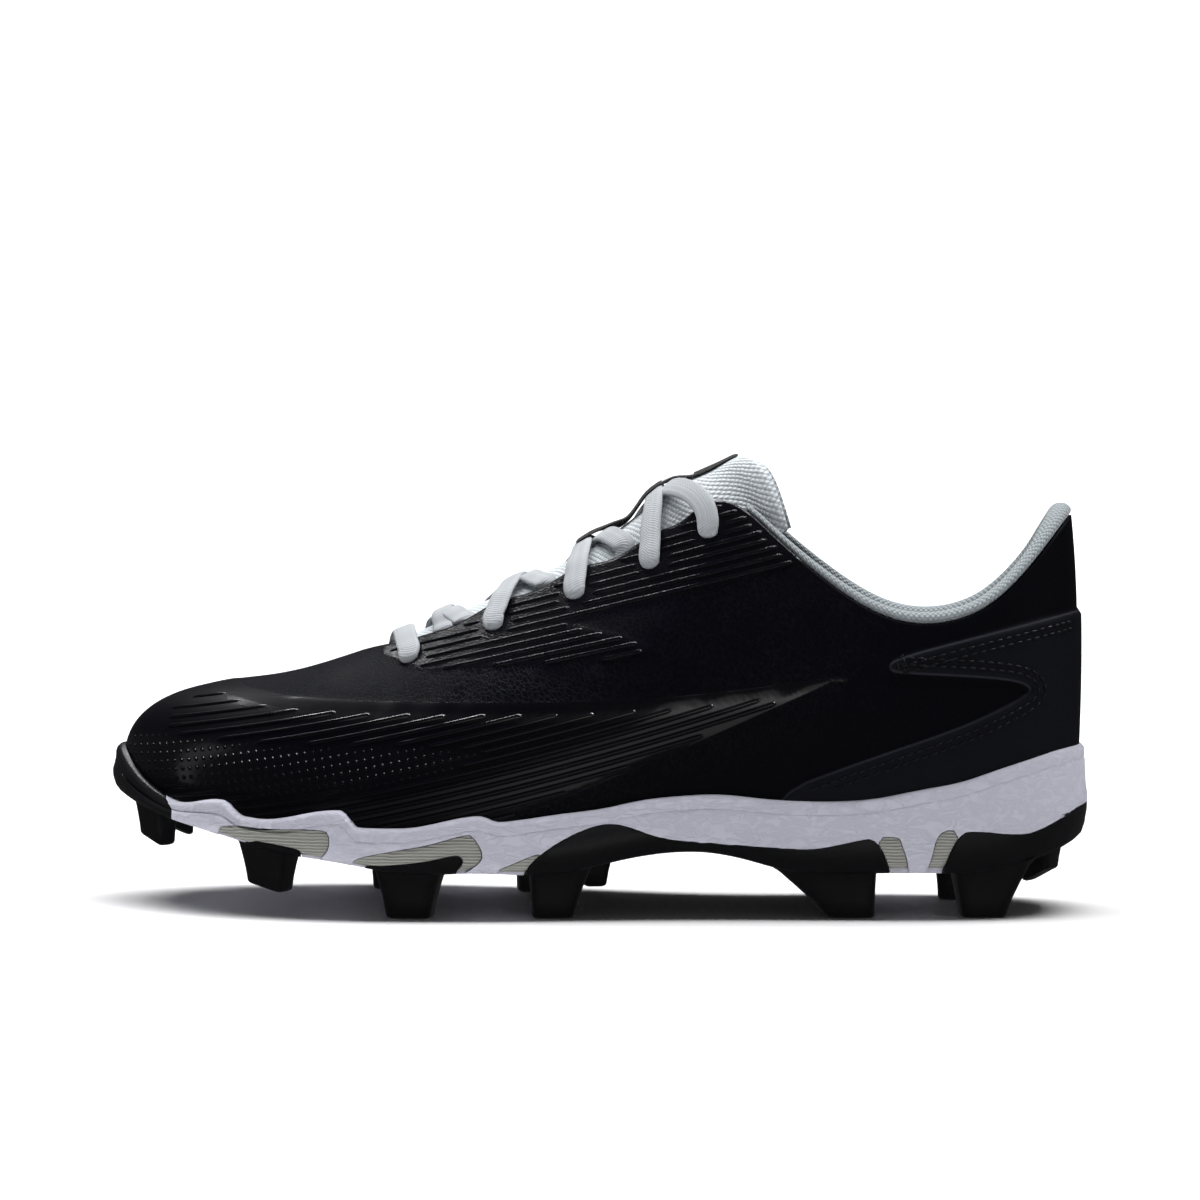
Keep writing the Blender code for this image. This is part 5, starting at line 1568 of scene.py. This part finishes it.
# Outsole pieces: black rubber plates with moulded studs, satin from the mould, cemented into the
# pockets of the midsole; the toe piece runs up as a bumper.
# Studs: piece, x, y, length and width at the root and at the tip, turn, slide, height front and back
STUDS = (
    ("outsole_toe", -125.2, -8.0, 11, 9.5, 8.5, 7, -33, 0.6, 19.6, 16.4),
    ("outsole_toe", -125.8, 20.5, 10.5, 9, 8.5, 7, 33, 0.6, 19.6, 16.4),
    ("outsole_front", -88.2, -34.0, 16, 13, 11, 8.5, -20, 0.3, 8.8, 6.4),
    ("outsole_front", -99.6, 33.0, 16, 12, 11, 8, 20, 0.0, 12.4, 9.6),
    ("outsole_ball", -48.6, -38.0, 20, 14, 12.5, 9.5, -3, 0.0, 0.0, 0.0),
    ("outsole_ball", -61.5, 34.5, 20, 14, 16, 9.5, 4, 0.0, 0.0, 0.0),
    ("outsole_arch", -7.5, -34.0, 18, 13, 11.5, 9, 9, -2.5, 0.0, 0.0),
    ("outsole_arch", -20.0, 30.5, 14.5, 12, 11, 8.5, 14, -1.2, 0.0, 0.0),
    ("outsole_arch", -3.0, 27.0, 11, 9, 6.5, 6, 16, -1.0, 2.0, 2.0),
    ("outsole_arch", 62.5, -26.5, 31, 14.5, 13.5, 10, 3, 8.1, 0.0, 0.0),
    ("outsole_arch", 60.5, 21.5, 29, 13.5, 13.5, 9.5, -3, 3.7, 0.0, 0.0),
    ("outsole_heel", 109.5, -21.5, 23.5, 14.5, 12.5, 10, 10, -3.0, 0.0, 0.0),
    ("outsole_heel", 102.5, 19.5, 17, 13, 12.5, 9.5, -10, -1.0, 0.0, 0.0),
    ("outsole_heel", 123.0, 8.0, 13, 12, 8.5, 8, -30, 0.5, 6.6, 10.4),
)
STUD_ROOT = 0.6
STUD_SQUARE = 0.42
STUD_SIDES = 36
# Rings of a stud: share of the way down, share of the taper, rounding in
STUD_RINGS = (
    (0.0, 0.0, 0.0), (0.12, 0.26, 0.0), (0.35, 0.52, 0.0), (0.65, 0.8, 0.0), (0.93, 0.98, 0.0),
    (0.975, 1.0, 0.25), (1.0, 1.0, 0.9),
)
# Moulded rubber: near black with a soft satin sheen from the mould
rubber, tree = new_material("moulded_rubber", "0a0a10", 0.4, Specular_IOR_Level=0.35)
spot = node(tree, "TexCoord", (), "Object")
speck = node(tree, "TexNoise", {"Vector": spot, "Scale": 1 / (0.9 * MM), "Detail": 2.0}, "Fac")
node(tree, "Bump", {"Height": speck, "Distance": 0.06 * MM}, to=("Normal",))
node(tree, "MapRange", {"Value": speck, "To Min": 0.34, "To Max": 0.5}, to=("Roughness",))


def stud(name, x, y, root_long, root_wide, tip_long, tip_wide, turn, slide, tip_front, tip_back):
    """One tapered stud with a flared root, rounded corners and a rounded tread edge."""
    c, s = math.cos(math.radians(turn)), math.sin(math.radians(turn))
    angles = np.linspace(0, 2 * math.pi, STUD_SIDES, endpoint=False)
    a, b = squared(np.cos(angles), STUD_SQUARE), squared(np.sin(angles), STUD_SQUARE)
    rings = []
    for down, taper, inset in STUD_RINGS:
        u = a * ((root_long + (tip_long - root_long) * taper) / 2 - inset) + slide * taper
        w = b * ((root_wide + (tip_wide - root_wide) * taper) / 2 - inset)
        place = x + u * c - w * s
        root = base_line(place) + STUD_ROOT
        tip = tip_front + (tip_back - tip_front) * (a + 1) / 2
        rings.append(np.stack((place, y + u * s + w * c, root + (tip - root) * down), 1))
    return make_piece(name, np.concatenate(rings), tube_faces(len(rings), len(angles)), rubber)


for name, outline in black_outline.items():
    piece = stacked_solid(name + "_rubber", block, rubber)
    cut(piece, "INTERSECT", prism(name + "_form", outline, FULL_NEAR, FULL_FAR))
    if name != "outsole_toe":
        cut(piece, "DIFFERENCE", core, keep=True)
    for owner, *sizes in STUDS:
        if owner == name:
            cut(piece, "UNION", stud("stud", *sizes))
    set_edges(piece.data, SOLE_CREASE)
    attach(piece, "root")
    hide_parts(name)


# Inserts: warm grey rubber plates with fine wavy ribs, set 0.4 mm back in the side of the midsole
# between the foam and the studs.
INSERT_RECESS = 0.4
INSERT_ROWS = slice(4, 11)
INSERT_LINE = 0.85
# Ribbed grey rubber: warm stone grey, matt, with fine wavy lines whose grooves are painted darker as
# painted shade
ribbed, tree = new_material("ribbed_grey_rubber", "a6a6a0", 0.6, Specular_IOR_Level=0.3)
spot = node(tree, "TexCoord", (), "Object")
wave_scale = WAVE_UNIT / (INSERT_LINE * MM)
lines = node(
    tree, "TexWave",
    {"Vector": spot, "Scale": wave_scale, "Distortion": 2.2, "Detail": 1.5, "Detail Scale": 0.6},
    "Fac", bands_direction="Z",
)
node(tree, "Bump", {"Height": lines, "Distance": 0.2 * MM}, to=("Normal",))
# Painted shade: the grooves between the wavy lines are painted darker
node(tree, "Mix", {0: lines, 6: "8a8a84", 7: "a4a49e"}, 2, ("Base Color",), data_type="RGBA")


def insert_band(name):
    """Band in the side of the sole from which the inserts are parted."""
    inset = WALL_OUT - SIDE_WALL - PART_LINE
    rings = [sole_ring(reach, z) for reach, z in wall_rows(INSERT_RECESS)[INSERT_ROWS]]
    share = (inset + BASE_IN + INSERT_RECESS) / (FOOT_OUT + BASE_IN)
    inner = sole_low + sole_out * inset
    rings.append(at_height(inner, sole_base + 0.14 * sole_tall * share))
    rings.append(at_height(inner, sole_rim - RIM_BEVEL))
    rings.append(rings[0])
    return make_piece(name, np.concatenate(rings), ring_faces(len(rings), len(sole_q)), ribbed)


for insert, (neighbour, outline) in INSERTS.items():
    fit = prism(insert + "_fit", grow(black_outline[neighbour], PART_LINE), FULL_NEAR, FULL_FAR)
    for side, (near, far) in sides.items():
        piece = insert_band(insert + "_" + side + "_rubber")
        cut(piece, "INTERSECT", prism(insert + "_form", soften(outline, 2), near, far))
        cut(piece, "DIFFERENCE", fit, keep=True)
        set_edges(piece.data, SOLE_CREASE)
        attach(piece, "root")
        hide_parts(insert + "_" + side)
    bpy.data.objects.remove(fit)
for tool in (core, core_inside, deep_core):
    bpy.data.objects.remove(tool)
